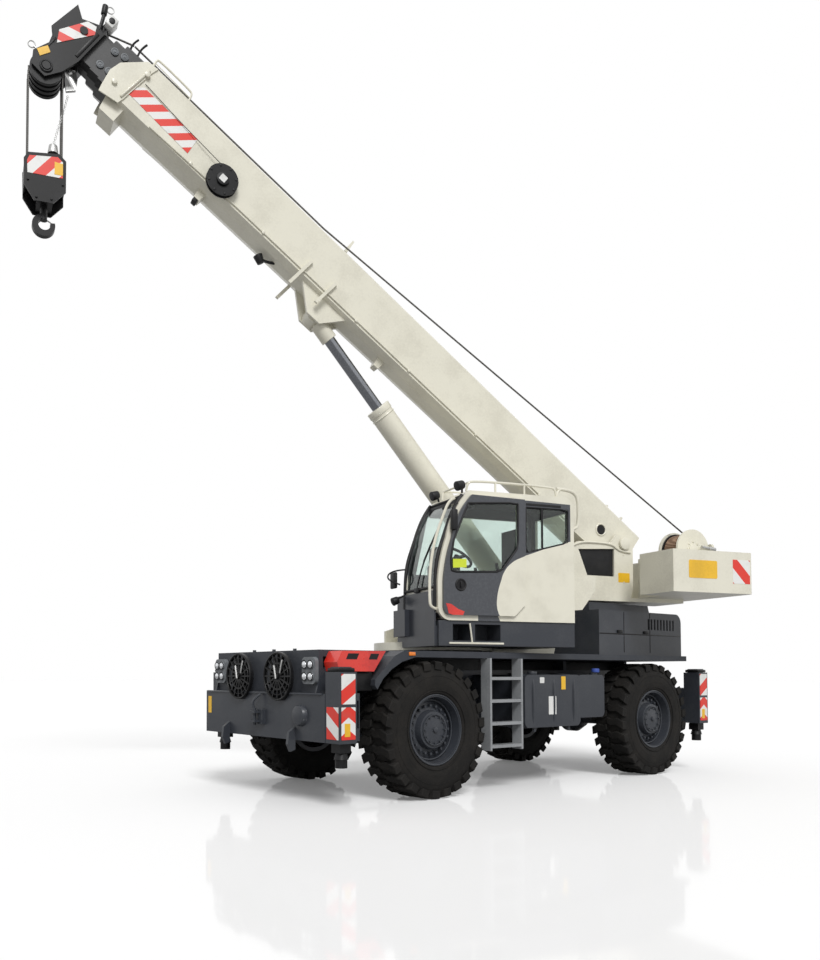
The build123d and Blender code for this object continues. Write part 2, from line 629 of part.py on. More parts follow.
boom_mid_two = sections["boom_mid_two"]
boom_tip = sections["boom_tip"]

# Reel for the length cable on the boom's left side; rows are radius, start and end past the boom's side
reel_y = boom_sizes["boom_base"][0]
with BuildPart() as cable_reel:
    for radius, start, end in ((110, 0, 30), (190, 30, 45), (150, 45, 80), (190, 80, 95), (60, 95, 110)):
        drum(boom, 6930, -220, radius, reel_y + start, reel_y + end)

# Boom head with its two sheave sets
plate_in = 150.0
plate_out = 180.0
with BuildPart() as boom_head:
    for y0 in (-plate_out, plate_in):
        slab(boom, [(tip_end, 138), (top_sheave_u - 60, 190), (top_sheave_u + 97, 100), (head_u + 203, -200),
                    (head_u + 143, head_v + 237), (head_u + 203, head_v + 37), (head_u + 123, head_v - 93),
                    (head_u - 57, head_v - 103), (head_u - 147, head_v + 77), (tip_end, -323)],
             y0, y0 + plate_out - plate_in)
        slab(boom, [(head_u + 100, -385), (head_u + 243, -225), (head_u + 203, 200), (top_sheave_u + 80, 90)],
             y0 + 10, y0 + 22)
    block(boom, tip_end, tip_end + head_plate_t, -plate_out, plate_out, -323, tip_top)
    drum(boom, head_u, head_v, 45, -plate_in, plate_in)
    drum(boom, top_sheave_u, top_sheave_v, 45, -plate_in, plate_in)
with BuildPart() as lower_sheaves:
    for y in (-120, -40, 40, 120):
        drum(boom, head_u, head_v, sheave_r, y - 22, y + 22)
    drum(boom, head_u, head_v, 80, -142, 142)
    drum(boom, head_u, head_v, 45 + seat_gap, -143, 143, mode=Mode.SUBTRACT)
with BuildPart() as upper_sheaves:
    for y in (-60, 60):
        drum(boom, top_sheave_u, top_sheave_v, top_sheave_r, y - 22, y + 22)
    drum(boom, top_sheave_u, top_sheave_v, 80, -149, 149)
    drum(boom, top_sheave_u, top_sheave_v, 45 + seat_gap, -150, 150, mode=Mode.SUBTRACT)

# Hook block hanging on its falls
head_point = upper.to_local_coords(boom.from_local_coords(Vector(head_u, 0, head_v)))
block_z = head_point.Z - fall_len
with BuildPart() as hoist_falls:
    for side in (-1, 1):
        for y in (-120, -40, 40, 120):
            post(upper, head_point.X + side * (sheave_r + rope_r + seat_gap), y, rope_r, block_z - 190,
                 head_point.Z)
with BuildPart() as hook_block:
    for y0 in (-170, 150):
        slab(upper, [(head_point.X + dx, block_z + dz) for dx, dz in (
            (-150, 20), (180, -20), (225, -90), (220, -380), (110, -545), (-90, -545), (-225, -400),
            (-225, -50))], y0, y0 + 20)
    for y in (-120, -40, 40, 120):
        drum(upper, head_point.X, block_z - 190, sheave_r, y - 25, y + 25)
    drum(upper, head_point.X, block_z - 190, 40, -170, 170)
    block(upper, head_point.X - 90, head_point.X + 80, -150, 150, block_z - 520, block_z - 430)
hook_z = block_z - 735
with BuildPart() as hook:
    post(upper, head_point.X, 0, 40, hook_z + 60, block_z - 520 - seat_gap)
    with BuildSketch(profile(upper, 38), mode=Mode.PRIVATE) as hook_outline:
        with Locations((head_point.X, hook_z)):
            Circle(125)
        with Locations((head_point.X - 8, hook_z + 8)):
            Circle(66, mode=Mode.SUBTRACT)
        with BuildLine():
            Polyline((head_point.X - 10, hook_z + 20), (head_point.X - 40, hook_z + 160),
                     (head_point.X - 220, hook_z + 160), (head_point.X - 190, hook_z + 40), close=True)
        make_face(mode=Mode.SUBTRACT)
    extrude(hook_outline.sketch, amount=76)

pieces = {
    "chassis": chassis, "axles": axles, "deck": deck, "red_cover": red_cover, "hood": hood, "tanks": tanks,
    "ladders": ladders, "floats": floats, "headlamps": headlamps, "slew_ring": slew_ring,
    "turntable": turntable, "pivot_pins": pivot_pins,
    "counterweight": counterweight, "winch_frame": winch_frame, "winch_drum": winch_drum,
    "cab_shell": cab_shell, "cab_glass": cab_glass, "cab_door": cab_door, "door_glass": door_glass, "cab_base": cab_base,
    "cab_seat": cab_seat, "side_cabinets": side_cabinets, "lift_barrel": lift_barrel, "lift_rod": lift_rod,
    "boom_base": boom_base, "boom_mid_one": boom_mid_one, "boom_mid_two": boom_mid_two, "boom_tip": boom_tip,
    "cable_reel": cable_reel, "boom_head": boom_head, "lower_sheaves": lower_sheaves, "upper_sheaves": upper_sheaves,
    "hoist_falls": hoist_falls, "hook_block": hook_block, "hook": hook,
}
for name in corner_rows:
    pieces["knuckle_" + name] = knuckles[name]
    pieces["tyre_" + name] = tyres[name]
    pieces["rim_" + name] = rims[name]
for name in beam_rows:
    pieces["beam_" + name] = beams[name]
    pieces["jack_" + name] = jacks[name]

for name, piece in pieces.items():
    piece.part.label = name
    export_step(piece.part, "parts/" + name + ".step")
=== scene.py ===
import math

import bpy
from mathutils import Matrix, Vector


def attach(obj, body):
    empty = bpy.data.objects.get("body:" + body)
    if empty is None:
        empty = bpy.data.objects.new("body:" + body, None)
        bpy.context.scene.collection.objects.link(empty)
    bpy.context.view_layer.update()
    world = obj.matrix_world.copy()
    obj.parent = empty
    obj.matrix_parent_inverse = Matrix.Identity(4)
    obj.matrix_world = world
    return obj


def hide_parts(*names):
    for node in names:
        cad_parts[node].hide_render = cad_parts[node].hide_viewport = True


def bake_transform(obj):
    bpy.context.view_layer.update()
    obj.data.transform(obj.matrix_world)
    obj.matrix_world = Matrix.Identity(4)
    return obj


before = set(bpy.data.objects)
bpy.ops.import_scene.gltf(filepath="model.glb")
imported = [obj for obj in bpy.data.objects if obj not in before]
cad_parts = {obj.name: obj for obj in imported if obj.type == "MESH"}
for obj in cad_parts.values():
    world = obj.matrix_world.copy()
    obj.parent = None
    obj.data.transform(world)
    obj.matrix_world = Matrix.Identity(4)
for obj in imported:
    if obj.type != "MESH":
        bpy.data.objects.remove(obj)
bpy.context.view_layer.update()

# The camera, placed in the crane's own frame
view = {
    "middle": (1.1640, 0.3966),
    "place": (8.818, 8.274, 1.349),
    "heading": -125.7,
    "rise": 2.06,
    "focal": 887.3,
    "centre": (301.5, 642.1),
    "width": 820,
    "height": 960,
}

# Places that the pieces share, in metres
crane = {
    "slewX": 0.8,
    "slewTurn": -15.5,
    "luff": 36.7,
    "foot": (-2.807, 0.0, 3.132),
    "liftPin": (-1.4, 0.0, 2.13),
    "rodPin": (5.14, 0.0, -0.55),
    "boomHalf": 0.21,
    "cheekOut": 0.28,
    "fall": 0.977,
    "axleZ": 0.745,
    "wheelX": 2.025,
    "wheelY": 1.1,
}

carrierFrame = Matrix.Translation((-view["middle"][0], -view["middle"][1], 0))
upperFrame = (carrierFrame @ Matrix.Translation((crane["slewX"], 0, 0))
              @ Matrix.Rotation(math.radians(crane["slewTurn"]), 4, "Z"))
boomFrame = (upperFrame @ Matrix.Translation(crane["foot"])
             @ Matrix.Rotation(-math.radians(crane["luff"]), 4, "Y"))
liftPoint = upperFrame @ Vector(crane["liftPin"])
rodPoint = boomFrame @ Vector(crane["rodPin"])
liftLine = upperFrame.to_3x3().inverted() @ (rodPoint - liftPoint)
cylinderFrame = (Matrix.Translation(liftPoint) @ upperFrame.to_3x3().to_4x4()
                 @ Matrix.Rotation(-math.atan2(liftLine.z, liftLine.x), 4, "Y"))
standing = Matrix(((1, 0, 0, 0), (0, 0, -1, 0), (0, 1, 0, 0), (0, 0, 0, 1)))  # a flat outline stood on edge
ownFrame = Matrix.Identity(4)  # for what is made at the origin or from points already placed


# Selecting, joining and finishing
def clearSelection():
    bpy.ops.object.select_all(action="DESELECT")


def only(piece):
    clearSelection()
    piece.select_set(True)
    bpy.context.view_layer.objects.active = piece


def applyPlace(piece):
    only(piece)
    bpy.ops.object.transform_apply(location=True, rotation=True, scale=True)


def applyModifier(piece, kind, **settings):
    only(piece)
    modifier = piece.modifiers.new(kind.lower(), kind)
    for key, value in settings.items():
        setattr(modifier, key, value)
    bpy.ops.object.modifier_apply(modifier=modifier.name)


def join(parts):
    clearSelection()
    for part in parts:
        part.select_set(True)
    bpy.context.view_layer.objects.active = parts[0]
    if len(parts) > 1:
        bpy.ops.object.join()
    return parts[0]


usualSlot = {
    "cream": "cream_paint",
    "grey": "grey_paint",
    "black": "dark_steel",
    "plastic": "dark_steel",
    "steel": "rod_steel",
    "rubber": "tyre",
    "rope": "rope_steel",
    "drumRope": "rope_steel",
    "lens": "lamp_lens",
}


def settle(parts, name, body, finish, slot=None, stands=()):
    # joins and cleans a piece, and names, paints and hangs it; a finish is a material or a name in paints
    slot = slot or usualSlot[finish]
    piece = join(parts) if isinstance(parts, list) else parts
    applyPlace(piece)
    bpy.ops.object.mode_set(mode="EDIT")
    bpy.ops.mesh.select_all(action="SELECT")
    bpy.ops.mesh.remove_doubles(threshold=0.00005)
    bpy.ops.mesh.normals_make_consistent(inside=False)
    bpy.ops.object.mode_set(mode="OBJECT")
    bpy.ops.object.shade_smooth_by_angle(angle=math.radians(32))
    piece.name = name
    piece.data.name = name
    piece.data.materials.clear()
    piece.data.materials.append(paints[finish] if isinstance(finish, str) else finish)
    if body:
        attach(piece, body)
    if stands:
        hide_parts(*stands)
    return piece


# Shapes, each given in one of the frames
def placeShape(piece, place, bevel=0.0, segments=2):
    # puts a new shape where it belongs and rounds its edges
    piece.matrix_world = place
    applyPlace(piece)
    if bevel:
        applyModifier(piece, "BEVEL", width=bevel, segments=segments, limit_method="ANGLE")
    return piece


def startLine(name, dimensions, kind, spots):
    line = bpy.data.curves.new(name, "CURVE")
    line.dimensions = dimensions
    spline = line.splines.new(kind)
    spline.points.add(len(spots) - 1)
    for point, spot in zip(spline.points, spots):
        point.co = (*spot, 1)
    return line, spline


def lineToMesh(line):
    piece = bpy.data.objects.new(line.name, line)
    bpy.context.scene.collection.objects.link(piece)
    only(piece)
    bpy.ops.object.convert(target="MESH")
    return bpy.context.object


def placeCopy(source, place):
    copy = source.copy()
    copy.data = source.data.copy()
    bpy.context.scene.collection.objects.link(copy)
    copy.matrix_world = place
    return copy


def addBox(place, low, high, bevel=0.006, segments=2):
    clearSelection()
    middle = [(a + b) / 2 for a, b in zip(low, high)]
    size = [abs(b - a) for a, b in zip(low, high)]
    bpy.ops.mesh.primitive_cube_add(size=1)
    spot = place @ Matrix.Translation(middle) @ Matrix.Diagonal((*size, 1))
    return placeShape(bpy.context.object, spot, bevel, segments)


def addRod(place, start, end, radius, vertices=24, tip=None, bevel=0.0):
    clearSelection()
    a, b = place @ Vector(start), place @ Vector(end)
    turn = (b - a).to_track_quat("Z", "Y").to_matrix().to_4x4()
    bpy.ops.mesh.primitive_cone_add(vertices=vertices, radius1=radius, radius2=radius if tip is None else tip,
                                    depth=(b - a).length)
    return placeShape(bpy.context.object, Matrix.Translation((a + b) / 2) @ turn, bevel)


def addPin(place, spot, near, far, radius, **more):
    # a rod straight across, between two distances from the middle, at an x and z
    x, z = spot
    return addRod(place, (x, near, z), (x, far, z), radius, **more)


def addTube(place, points, radius, order=3, sides=3):
    line, spline = startLine("tube", "3D", "NURBS", [place @ Vector(spot) for spot in points])
    line.bevel_depth = radius
    line.bevel_resolution = sides
    line.use_fill_caps = True
    line.resolution_u = 5
    spline.order_u = order
    spline.use_endpoint_u = True
    return lineToMesh(line)


def addPlate(place, outline, side, thick, bevel=0.0):
    line, spline = startLine("plate", "2D", "POLY", [(x, z, 0) for x, z in outline])
    line.fill_mode = "BOTH"
    line.extrude = thick / 2
    spline.use_cyclic_u = True
    return placeShape(lineToMesh(line), place @ Matrix.Translation((0, side, 0)) @ standing, bevel)


def addRing(place, centre, axis, radius, thick, segments=32, sides=10):
    clearSelection()
    bpy.ops.mesh.primitive_torus_add(major_segments=segments, minor_segments=sides, major_radius=radius,
                                     minor_radius=thick)
    turn = (place.to_3x3() @ Vector(axis)).to_track_quat("Z", "Y").to_matrix().to_4x4()
    return placeShape(bpy.context.object, Matrix.Translation(place @ Vector(centre)) @ turn)


def circleSpots(count, radius, x=0.0, z=0.0):
    angles = [2 * math.pi * number / count for number in range(count)]
    return [(x + radius * math.cos(angle), z + radius * math.sin(angle)) for angle in angles]


def closed(points):
    return [*points, points[0]]


def roundOutline(x0, x1, z0, z1, radius, steps):
    points = []
    corners = ((x1 - radius, z0 + radius), (x1 - radius, z1 - radius), (x0 + radius, z1 - radius),
               (x0 + radius, z0 + radius))
    for number, (x, z) in enumerate(corners):
        for step in range(steps + 1):
            angle = math.radians(90 * (number - 1 + step / steps))
            points.append((x + radius * math.cos(angle), z + radius * math.sin(angle)))
    return points


# Shader sums written as Python
def addNode(tree, kind, inputs=(), **settings):
    # a node with its settings, and its inputs linked where a socket is given
    node = tree.nodes.new(kind)
    for key, value in settings.items():
        setattr(node, key, value)
    for key, value in dict(inputs).items():
        feed(tree, node.inputs[key], value)
    return node


def feed(tree, socket, value):
    if isinstance(value, Value):
        value = value.socket
    if isinstance(value, bpy.types.NodeSocket):
        tree.links.new(value, socket)
    elif value is not None:
        socket.default_value = value


class Value:
    def __init__(self, tree, socket):
        self.tree = tree
        self.socket = socket

    def math(self, operation, other=None, swap=False):
        pair = (other, self) if swap else (self, other)
        node = addNode(self.tree, "ShaderNodeMath", enumerate(pair), operation=operation)
        return Value(self.tree, node.outputs[0])

    def __add__(self, other):
        return self.math("ADD", other)

    def __sub__(self, other):
        return self.math("SUBTRACT", other)

    def __rsub__(self, other):
        return self.math("SUBTRACT", other, swap=True)

    def __mul__(self, other):
        return self.math("MULTIPLY", other)

    def __truediv__(self, other):
        return self.math("DIVIDE", other)

    __radd__ = __add__
    __rmul__ = __mul__

    def above(self, limit):
        return self.math("GREATER_THAN", limit)

    def below(self, limit):
        return self.math("LESS_THAN", limit)


class Finish:
    def __init__(self, name, metallic=0.0, coat=0.0, transmission=0.0, ior=1.5, shine=0.5):
        self.material = bpy.data.materials.new(name)
        self.material.use_nodes = True
        self.tree = self.material.node_tree
        self.shader = self.tree.nodes["Principled BSDF"]
        looks = {"Metallic": metallic, "Coat Weight": coat, "Coat Roughness": 0.12, "IOR": ior,
                 "Transmission Weight": transmission, "Specular IOR Level": shine}
        for key, amount in looks.items():
            self.shader.inputs[key].default_value = amount
        self.place = self.node("ShaderNodeTexCoord").outputs["Object"]

    def node(self, kind, inputs=(), **settings):
        return addNode(self.tree, kind, inputs, **settings)

    def feed(self, socket, value):
        feed(self.tree, socket, value)

    def value(self, socket):
        return Value(self.tree, socket)

    def noise(self, scale, detail=3.0, rough=0.55):
        return self.value(self.node("ShaderNodeTexNoise", {"Vector": self.place, "Scale": scale, "Detail": detail,
                                                           "Roughness": rough}).outputs["Fac"])

    def along(self, direction, start):
        # how far a point lies from a start, measured along a direction
        moved = self.node("ShaderNodeVectorMath", {0: self.place, 1: start}, operation="SUBTRACT")
        reach = self.node("ShaderNodeVectorMath", {0: moved.outputs["Vector"], 1: direction}, operation="DOT_PRODUCT")
        return self.value(reach.outputs["Value"])

    def axes(self, place, letters="xyz"):
        # how far a point lies along some axes of one of the frames above
        turn = place.to_3x3()
        return [self.along(turn.col["xyz".index(letter)], place.translation) for letter in letters]

    def step(self, value, low, high):
        return self.value(self.node("ShaderNodeMapRange", {"Value": value, "From Min": low, "From Max": high},
                                    interpolation_type="SMOOTHSTEP").outputs["Result"])

    def blend(self, factor, a, b):
        first, second = [(*colour, 1) if isinstance(colour, tuple) else colour for colour in (a, b)]
        return self.node("ShaderNodeMix", {0: factor, 6: first, 7: second}, data_type="RGBA").outputs[2]

    def bump(self, height, strength, distance, below=None):
        return self.node("ShaderNodeBump", {"Strength": strength, "Distance": distance, "Height": height,
                                            "Normal": below}).outputs["Normal"]

    def done(self, colour, rough, normal=None):
        for key, value in (("Base Color", colour), ("Roughness", rough), ("Normal", normal)):
            self.feed(self.shader.inputs[key], value)
        return self.material


tones = {
    "cream": (0.76, 0.735, 0.62),
    "creamWorn": (0.66, 0.635, 0.53),
    "anthracite": (0.036, 0.040, 0.049),
    "anthraciteWorn": (0.050, 0.054, 0.062),
    "black": (0.006, 0.006, 0.0065),
    "blackWorn": (0.014, 0.014, 0.015),
    "red": (0.74, 0.035, 0.02),
    "white": (0.80, 0.80, 0.78),
    "yellow": (0.86, 0.50, 0.02),
    "dust": (0.20, 0.18, 0.15),
    "rubber": (0.009, 0.0085, 0.008),
    "rubberDust": (0.019, 0.017, 0.015),
}


def paintSurface(finish, wave=0.02):
    peel = finish.noise(260, detail=1.0)
    panel = finish.noise(1.6, detail=1.0)
    soft = finish.bump(panel, wave, 0.02)
    return finish.bump(peel, 0.06, 0.002, below=soft)


def makePaint(name, colour, worn, rough=0.34, coat=0.25, dusty=0.25, shine=0.5):
    finish = Finish(name, coat=coat, shine=shine)
    cloud = finish.noise(2.2, detail=5.0)
    fine = finish.noise(38, detail=4.0)
    shade = finish.blend(finish.step(cloud * 0.7 + fine * 0.3, 0.42, 0.68), colour, worn)
    normal = finish.node("ShaderNodeNewGeometry").outputs["Normal"]
    up = finish.value(finish.node("ShaderNodeSeparateXYZ", {"Vector": normal}).outputs["Z"])
    lying = finish.step(up, 0.55, 0.98) * finish.step(fine, 0.35, 0.7) * dusty
    shade = finish.blend(lying, shade, tones["dust"])
    return finish.done(shade, fine * 0.16 + (rough - 0.08), paintSurface(finish))


def makeStripes(name, place, direction, period, start, first="red", mirror=None):
    finish = Finish(name, coat=0.1)
    turn = place.to_3x3()
    line = finish.along(turn @ Vector(direction).normalized(), place @ Vector(start))
    if mirror is not None:
        across = finish.along(turn @ Vector(mirror), place @ Vector(start)).math("ABSOLUTE")
        line = line + across * 0.7
    band = (line / period).math("FRACT").below(0.5)
    fine = finish.noise(60)
    grime = finish.step(finish.noise(6, detail=5.0), 0.5, 0.8) * 0.25
    pair = (tones["red"], tones["white"]) if first == "red" else (tones["white"], tones["red"])
    shade = finish.blend(band, pair[1], pair[0])
    shade = finish.blend(grime, shade, tones["dust"])
    return finish.done(shade, fine * 0.12 + 0.32, finish.bump(finish.noise(300, detail=1.0), 0.04, 0.001))


cabSkin = {
    "low": 1.95,
    "high": 3.45,
    "edge": ((1.95, -0.20), (3.45, -1.29), (2.01, -0.17), (2.05, -0.150), (2.136, -0.129), (2.22, -0.132),
             (2.311, -0.149), (2.42, -0.185), (2.523, -0.226), (2.632, -0.322), (2.722, -0.501), (2.77, -0.64),
             (2.819, -0.781), (2.88, -0.98), (2.934, -1.166), (2.95, -1.25), (3.1, -1.29)),
    "bandTop": 3.405,
    "sideY": 1.255,
    "rearFrame": -1.185,
    "reach": 1.3,
    "slope": 0.018,
    "post": (0.1, 1.2735),
    "inner": ((-1.197, 0.60), (0.458, 1.232), (1.99, 3.433)),
    "dark": (0.048, 0.052, 0.062),
    "darkWorn": (0.062, 0.067, 0.077),
    "lining": (0.045, 0.046, 0.05),
}


def makeCabSkin():
    # cream body, dark window band and lower door, split along one curved line
    finish = Finish("cabTwoTone", coat=0.3)
    x, y, z = finish.axes(upperFrame)
    low, high, reach = cabSkin["low"], cabSkin["high"], cabSkin["reach"]
    curve = finish.node("ShaderNodeFloatCurve")
    points = curve.mapping.curves[0].points
    for number, (height, ahead) in enumerate(cabSkin["edge"]):
        spot = ((height - low) / (high - low), (ahead + reach) / reach)
        if number < 2:
            points[number].location = spot
        else:
            points.new(*spot)
    curve.mapping.update()
    finish.feed(curve.inputs["Value"], (z - low) / (high - low))
    border = finish.value(curve.outputs["Value"]) * reach - reach
    ahead = (x - border).above(0)
    beneath = (z - cabSkin["slope"] * x).below(cabSkin["bandTop"])
    nearSide = y.above(cabSkin["sideY"])
    notFrame = x.above(cabSkin["rearFrame"])
    frontPost = x.above(cabSkin["post"][0]) * y.below(cabSkin["post"][1])
    dark = ahead * beneath * nearSide * notFrame * (1 - frontPost)
    inside = 1
    for axis, (start, end) in zip((x, y, z), cabSkin["inner"]):
        inside = axis.above(start) * axis.below(end) * inside
    cloud = finish.noise(2.2, detail=5.0)
    fine = finish.noise(38, detail=4.0)
    body = finish.blend(finish.step(cloud, 0.45, 0.7), tones["cream"], tones["creamWorn"])
    band = finish.blend(finish.step(fine, 0.4, 0.7), cabSkin["dark"], cabSkin["darkWorn"])
    shade = finish.blend(dark, body, band)
    shade = finish.blend(inside, shade, cabSkin["lining"])
    return finish.done(shade, fine * 0.14 + 0.27, paintSurface(finish))


sectionSkin = {
    "blackFrom": 8.16,
}


def makeSections():
    # telescoping sections: cream along their length, black at the end that shows
    finish = Finish("sectionPaint", coat=0.2)
    x, = finish.axes(boomFrame, "x")
    fine = finish.noise(38, detail=4.0)
    grime = finish.noise(5, detail=5.0)
    black = finish.blend(finish.step(grime, 0.4, 0.7), tones["black"], tones["blackWorn"])
    shade = finish.blend(x.above(sectionSkin["blackFrom"]), tones["cream"], black)
    return finish.done(shade, fine * 0.2 + 0.32, paintSurface(finish))


def makeRubber():
    finish = Finish("treadRubber", shine=0.2)
    cloud = finish.noise(4.5, detail=6.0, rough=0.65)
    fine = finish.noise(70, detail=4.0)
    shade = finish.blend(finish.step(cloud * 0.6 + fine * 0.4, 0.40, 0.66), tones["rubber"], tones["rubberDust"])
    normal = finish.bump(fine, 0.35, 0.003, below=finish.bump(cloud, 0.2, 0.01))
    return finish.done(shade, fine * 0.25 + 0.62, normal)


def makeMetal(name, colour, rough, scale=120):
    finish = Finish(name, metallic=1.0)
    grain = finish.noise(scale)
    tone = tuple(c * 0.75 for c in colour)
    shade = finish.blend(finish.step(grain, 0.35, 0.7), colour, tone)
    return finish.done(shade, grain * 0.2 + rough, finish.bump(grain, 0.05, 0.001))


rodSkin = {
    "head": 4.395,
    "chrome": (0.27, 0.28, 0.30),
    "chromeWorn": (0.20, 0.21, 0.23),
}


def makeRodSkin():
    # chrome along the rod, cream paint on its head
    finish = Finish("rodSkin", metallic=1.0)
    x, = finish.axes(cylinderFrame, "x")
    head = x.above(rodSkin["head"])
    grain = finish.noise(60)
    bare = finish.blend(finish.step(grain, 0.35, 0.7), rodSkin["chrome"], rodSkin["chromeWorn"])
    worn = finish.blend(finish.step(finish.noise(2.2, detail=5.0), 0.42, 0.68), tones["cream"], tones["creamWorn"])
    finish.feed(finish.shader.inputs["Metallic"], 1 - head)
    return finish.done(finish.blend(head, bare, worn), head * 0.2 + grain * 0.12 + 0.1, paintSurface(finish, 0.01))


def makeGlass(name, colour, rough=0.02):
    finish = Finish(name, transmission=1.0, ior=1.45)
    haze = finish.noise(3.0, detail=4.0)
    shade = finish.blend(finish.step(haze, 0.4, 0.8), colour, tuple(c * 0.93 for c in colour))
    return finish.done(shade, haze * 0.02 + rough)


def makeRope(name, place, valley=(0.045, 0.043, 0.04), crest=(0.19, 0.185, 0.175)):
    finish = Finish(name, metallic=0.7)
    x, y, z = finish.axes(place)
    lay = ((x + z) * 260 + y * 320).math("SINE") * 0.5 + 0.5
    grime = finish.noise(30, detail=4.0)
    shade = finish.blend(lay * 0.5 + grime * 0.3, valley, crest)
    return finish.done(shade, grime * 0.2 + 0.4, finish.bump(lay, 0.6, 0.002))


def makePlastic(name, colour, rough=0.5):
    finish = Finish(name, shine=0.3)
    grain = finish.noise(180, detail=2.0)
    cloud = finish.noise(7, detail=4.0)
    shade = finish.blend(finish.step(cloud, 0.4, 0.7), colour, tuple(min(1, c * 1.25 + 0.004) for c in colour))
    return finish.done(shade, grain * 0.15 + (rough - 0.07), finish.bump(grain, 0.15, 0.001))


def makeSeatCloth():
    finish = Finish("seatCloth")
    x, y = finish.axes(upperFrame, "xy")
    weave = (x * 900).math("SINE") * (y * 900).math("SINE") * 0.5 + 0.5
    cloud = finish.noise(12, detail=4.0)
    shade = finish.blend(cloud, (0.03, 0.03, 0.034), (0.06, 0.06, 0.066))
    return finish.done(shade, cloud * 0.1 + 0.8, finish.bump(weave, 0.3, 0.001))


print("materials")
paints = {
    "cream": makePaint("creamPaint", tones["cream"], tones["creamWorn"], rough=0.36, dusty=0.1),
    "grey": makePaint("anthracitePaint", tones["anthracite"], tones["anthraciteWorn"], coat=0.1, dusty=0.08,
                      shine=0.35),
    "deck": makePaint("deckPaint", tones["anthracite"], tones["anthraciteWorn"], rough=0.5, coat=0.0, dusty=0.15,
                      shine=0.3),
    "black": makePaint("blackPaint", tones["black"], tones["blackWorn"], rough=0.4, coat=0.0, dusty=0.05, shine=0.25),
    "ladder": makePaint("ladderPaint", (0.30, 0.31, 0.32), (0.22, 0.23, 0.24), rough=0.45, dusty=0.1),
    "red": makePaint("redPaint", tones["red"], (0.55, 0.02, 0.015), rough=0.3, coat=0.5, dusty=0.1),
    "white": makePaint("whitePaint", tones["white"], (0.66, 0.66, 0.64), rough=0.4, dusty=0.1),
    "yellow": makePaint("yellowPlate", tones["yellow"], (0.72, 0.42, 0.02), rough=0.4, dusty=0.05),
    "lime": makePaint("limePlate", (0.62, 0.72, 0.03), (0.5, 0.6, 0.03), rough=0.4, dusty=0.02),
    "amber": makePaint("amberLens", (0.85, 0.22, 0.01), (0.6, 0.14, 0.01), rough=0.2, coat=0.6, dusty=0.05),
    "cab": makeCabSkin(),
    "sections": makeSections(),
    "rubber": makeRubber(),
    "rod": makeRodSkin(),
    "steel": makeMetal("bareSteel", (0.55, 0.55, 0.54), 0.28),
    "lens": makeMetal("lampReflector", (0.80, 0.82, 0.84), 0.08, scale=40),
    "glass": makeGlass("tintedGlass", (0.78, 0.87, 0.83)),
    "plastic": makePlastic("blackPlastic", (0.008, 0.008, 0.009)),
    "greyPlastic": makePlastic("greyPlastic", (0.16, 0.17, 0.18)),
    "cloth": makeSeatCloth(),
    "drumRope": makeRope("drumRope", upperFrame, (0.10, 0.055, 0.03), (0.36, 0.24, 0.16)),
    "rope": makeRope("hoistRope", boomFrame),
    "fallRope": makeRope("fallRope", upperFrame),
}

nodeFinish = {
    "grey": ("chassis", "axles", "hood", "tanks", "cab_base"),
    "ladder": ("ladders",),
    "deck": ("deck",),
    "cream": ("turntable", "counterweight", "winch_frame", "side_cabinets", "lift_barrel", "boom_base"),
    "cab": ("cab_shell", "cab_door"),
    "sections": ("boom_mid_one", "boom_mid_two", "boom_tip"),
    "black": ("slew_ring", "winch_drum", "floats", "cable_reel", "lower_sheaves", "upper_sheaves", "hook_block",
              "hook", "boom_head"),
    "red": ("red_cover",),
    "greyPlastic": ("headlamps",),
    "glass": ("cab_glass", "door_glass"),
    "cloth": ("cab_seat",),
    "rod": ("lift_rod",),
    "steel": ("pivot_pins",),
    "fallRope": ("hoist_falls",),
}
for finishName, nodeNames in nodeFinish.items():
    for nodeName in nodeNames:
        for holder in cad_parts[nodeName].material_slots:
            holder.material = paints[finishName]
cornerFinish = {"knuckle": "grey", "rim": "grey", "beam": "grey", "jack": "black", "tyre": "rubber"}
for nodeName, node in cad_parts.items():
    kind = nodeName.split("_")[0]
    if kind in cornerFinish:
        node.material_slots[0].material = paints[cornerFinish[kind]]


print("wheels")
wheel = {
    "lugs": 26,
    "lugWide": 0.105,
    "lugLong": 0.235,
    "lugHigh": 0.036,
    "lugRoot": 0.05,
    "shoulder": 0.17,
    "carcass": 0.712,
    "outer": 0.745,
    "half": 0.24,
    "wall": ((0.3855, -0.205), (0.40, -0.222), (0.46, -0.236), (0.54, -0.240), (0.61, -0.234), (0.66, -0.222)),
    "beads": (0.43, 0.50, 0.585),
    "lips": ((0.212, 0.378, 0.010, 64), (0.118, 0.325, 0.010, 64), (0.196, 0.165, 0.006, 48)),
    "bolts": ((20, 0.262, 0.085, 0.135, 0.016), (12, 0.145, 0.19, 0.207, 0.009)),
}


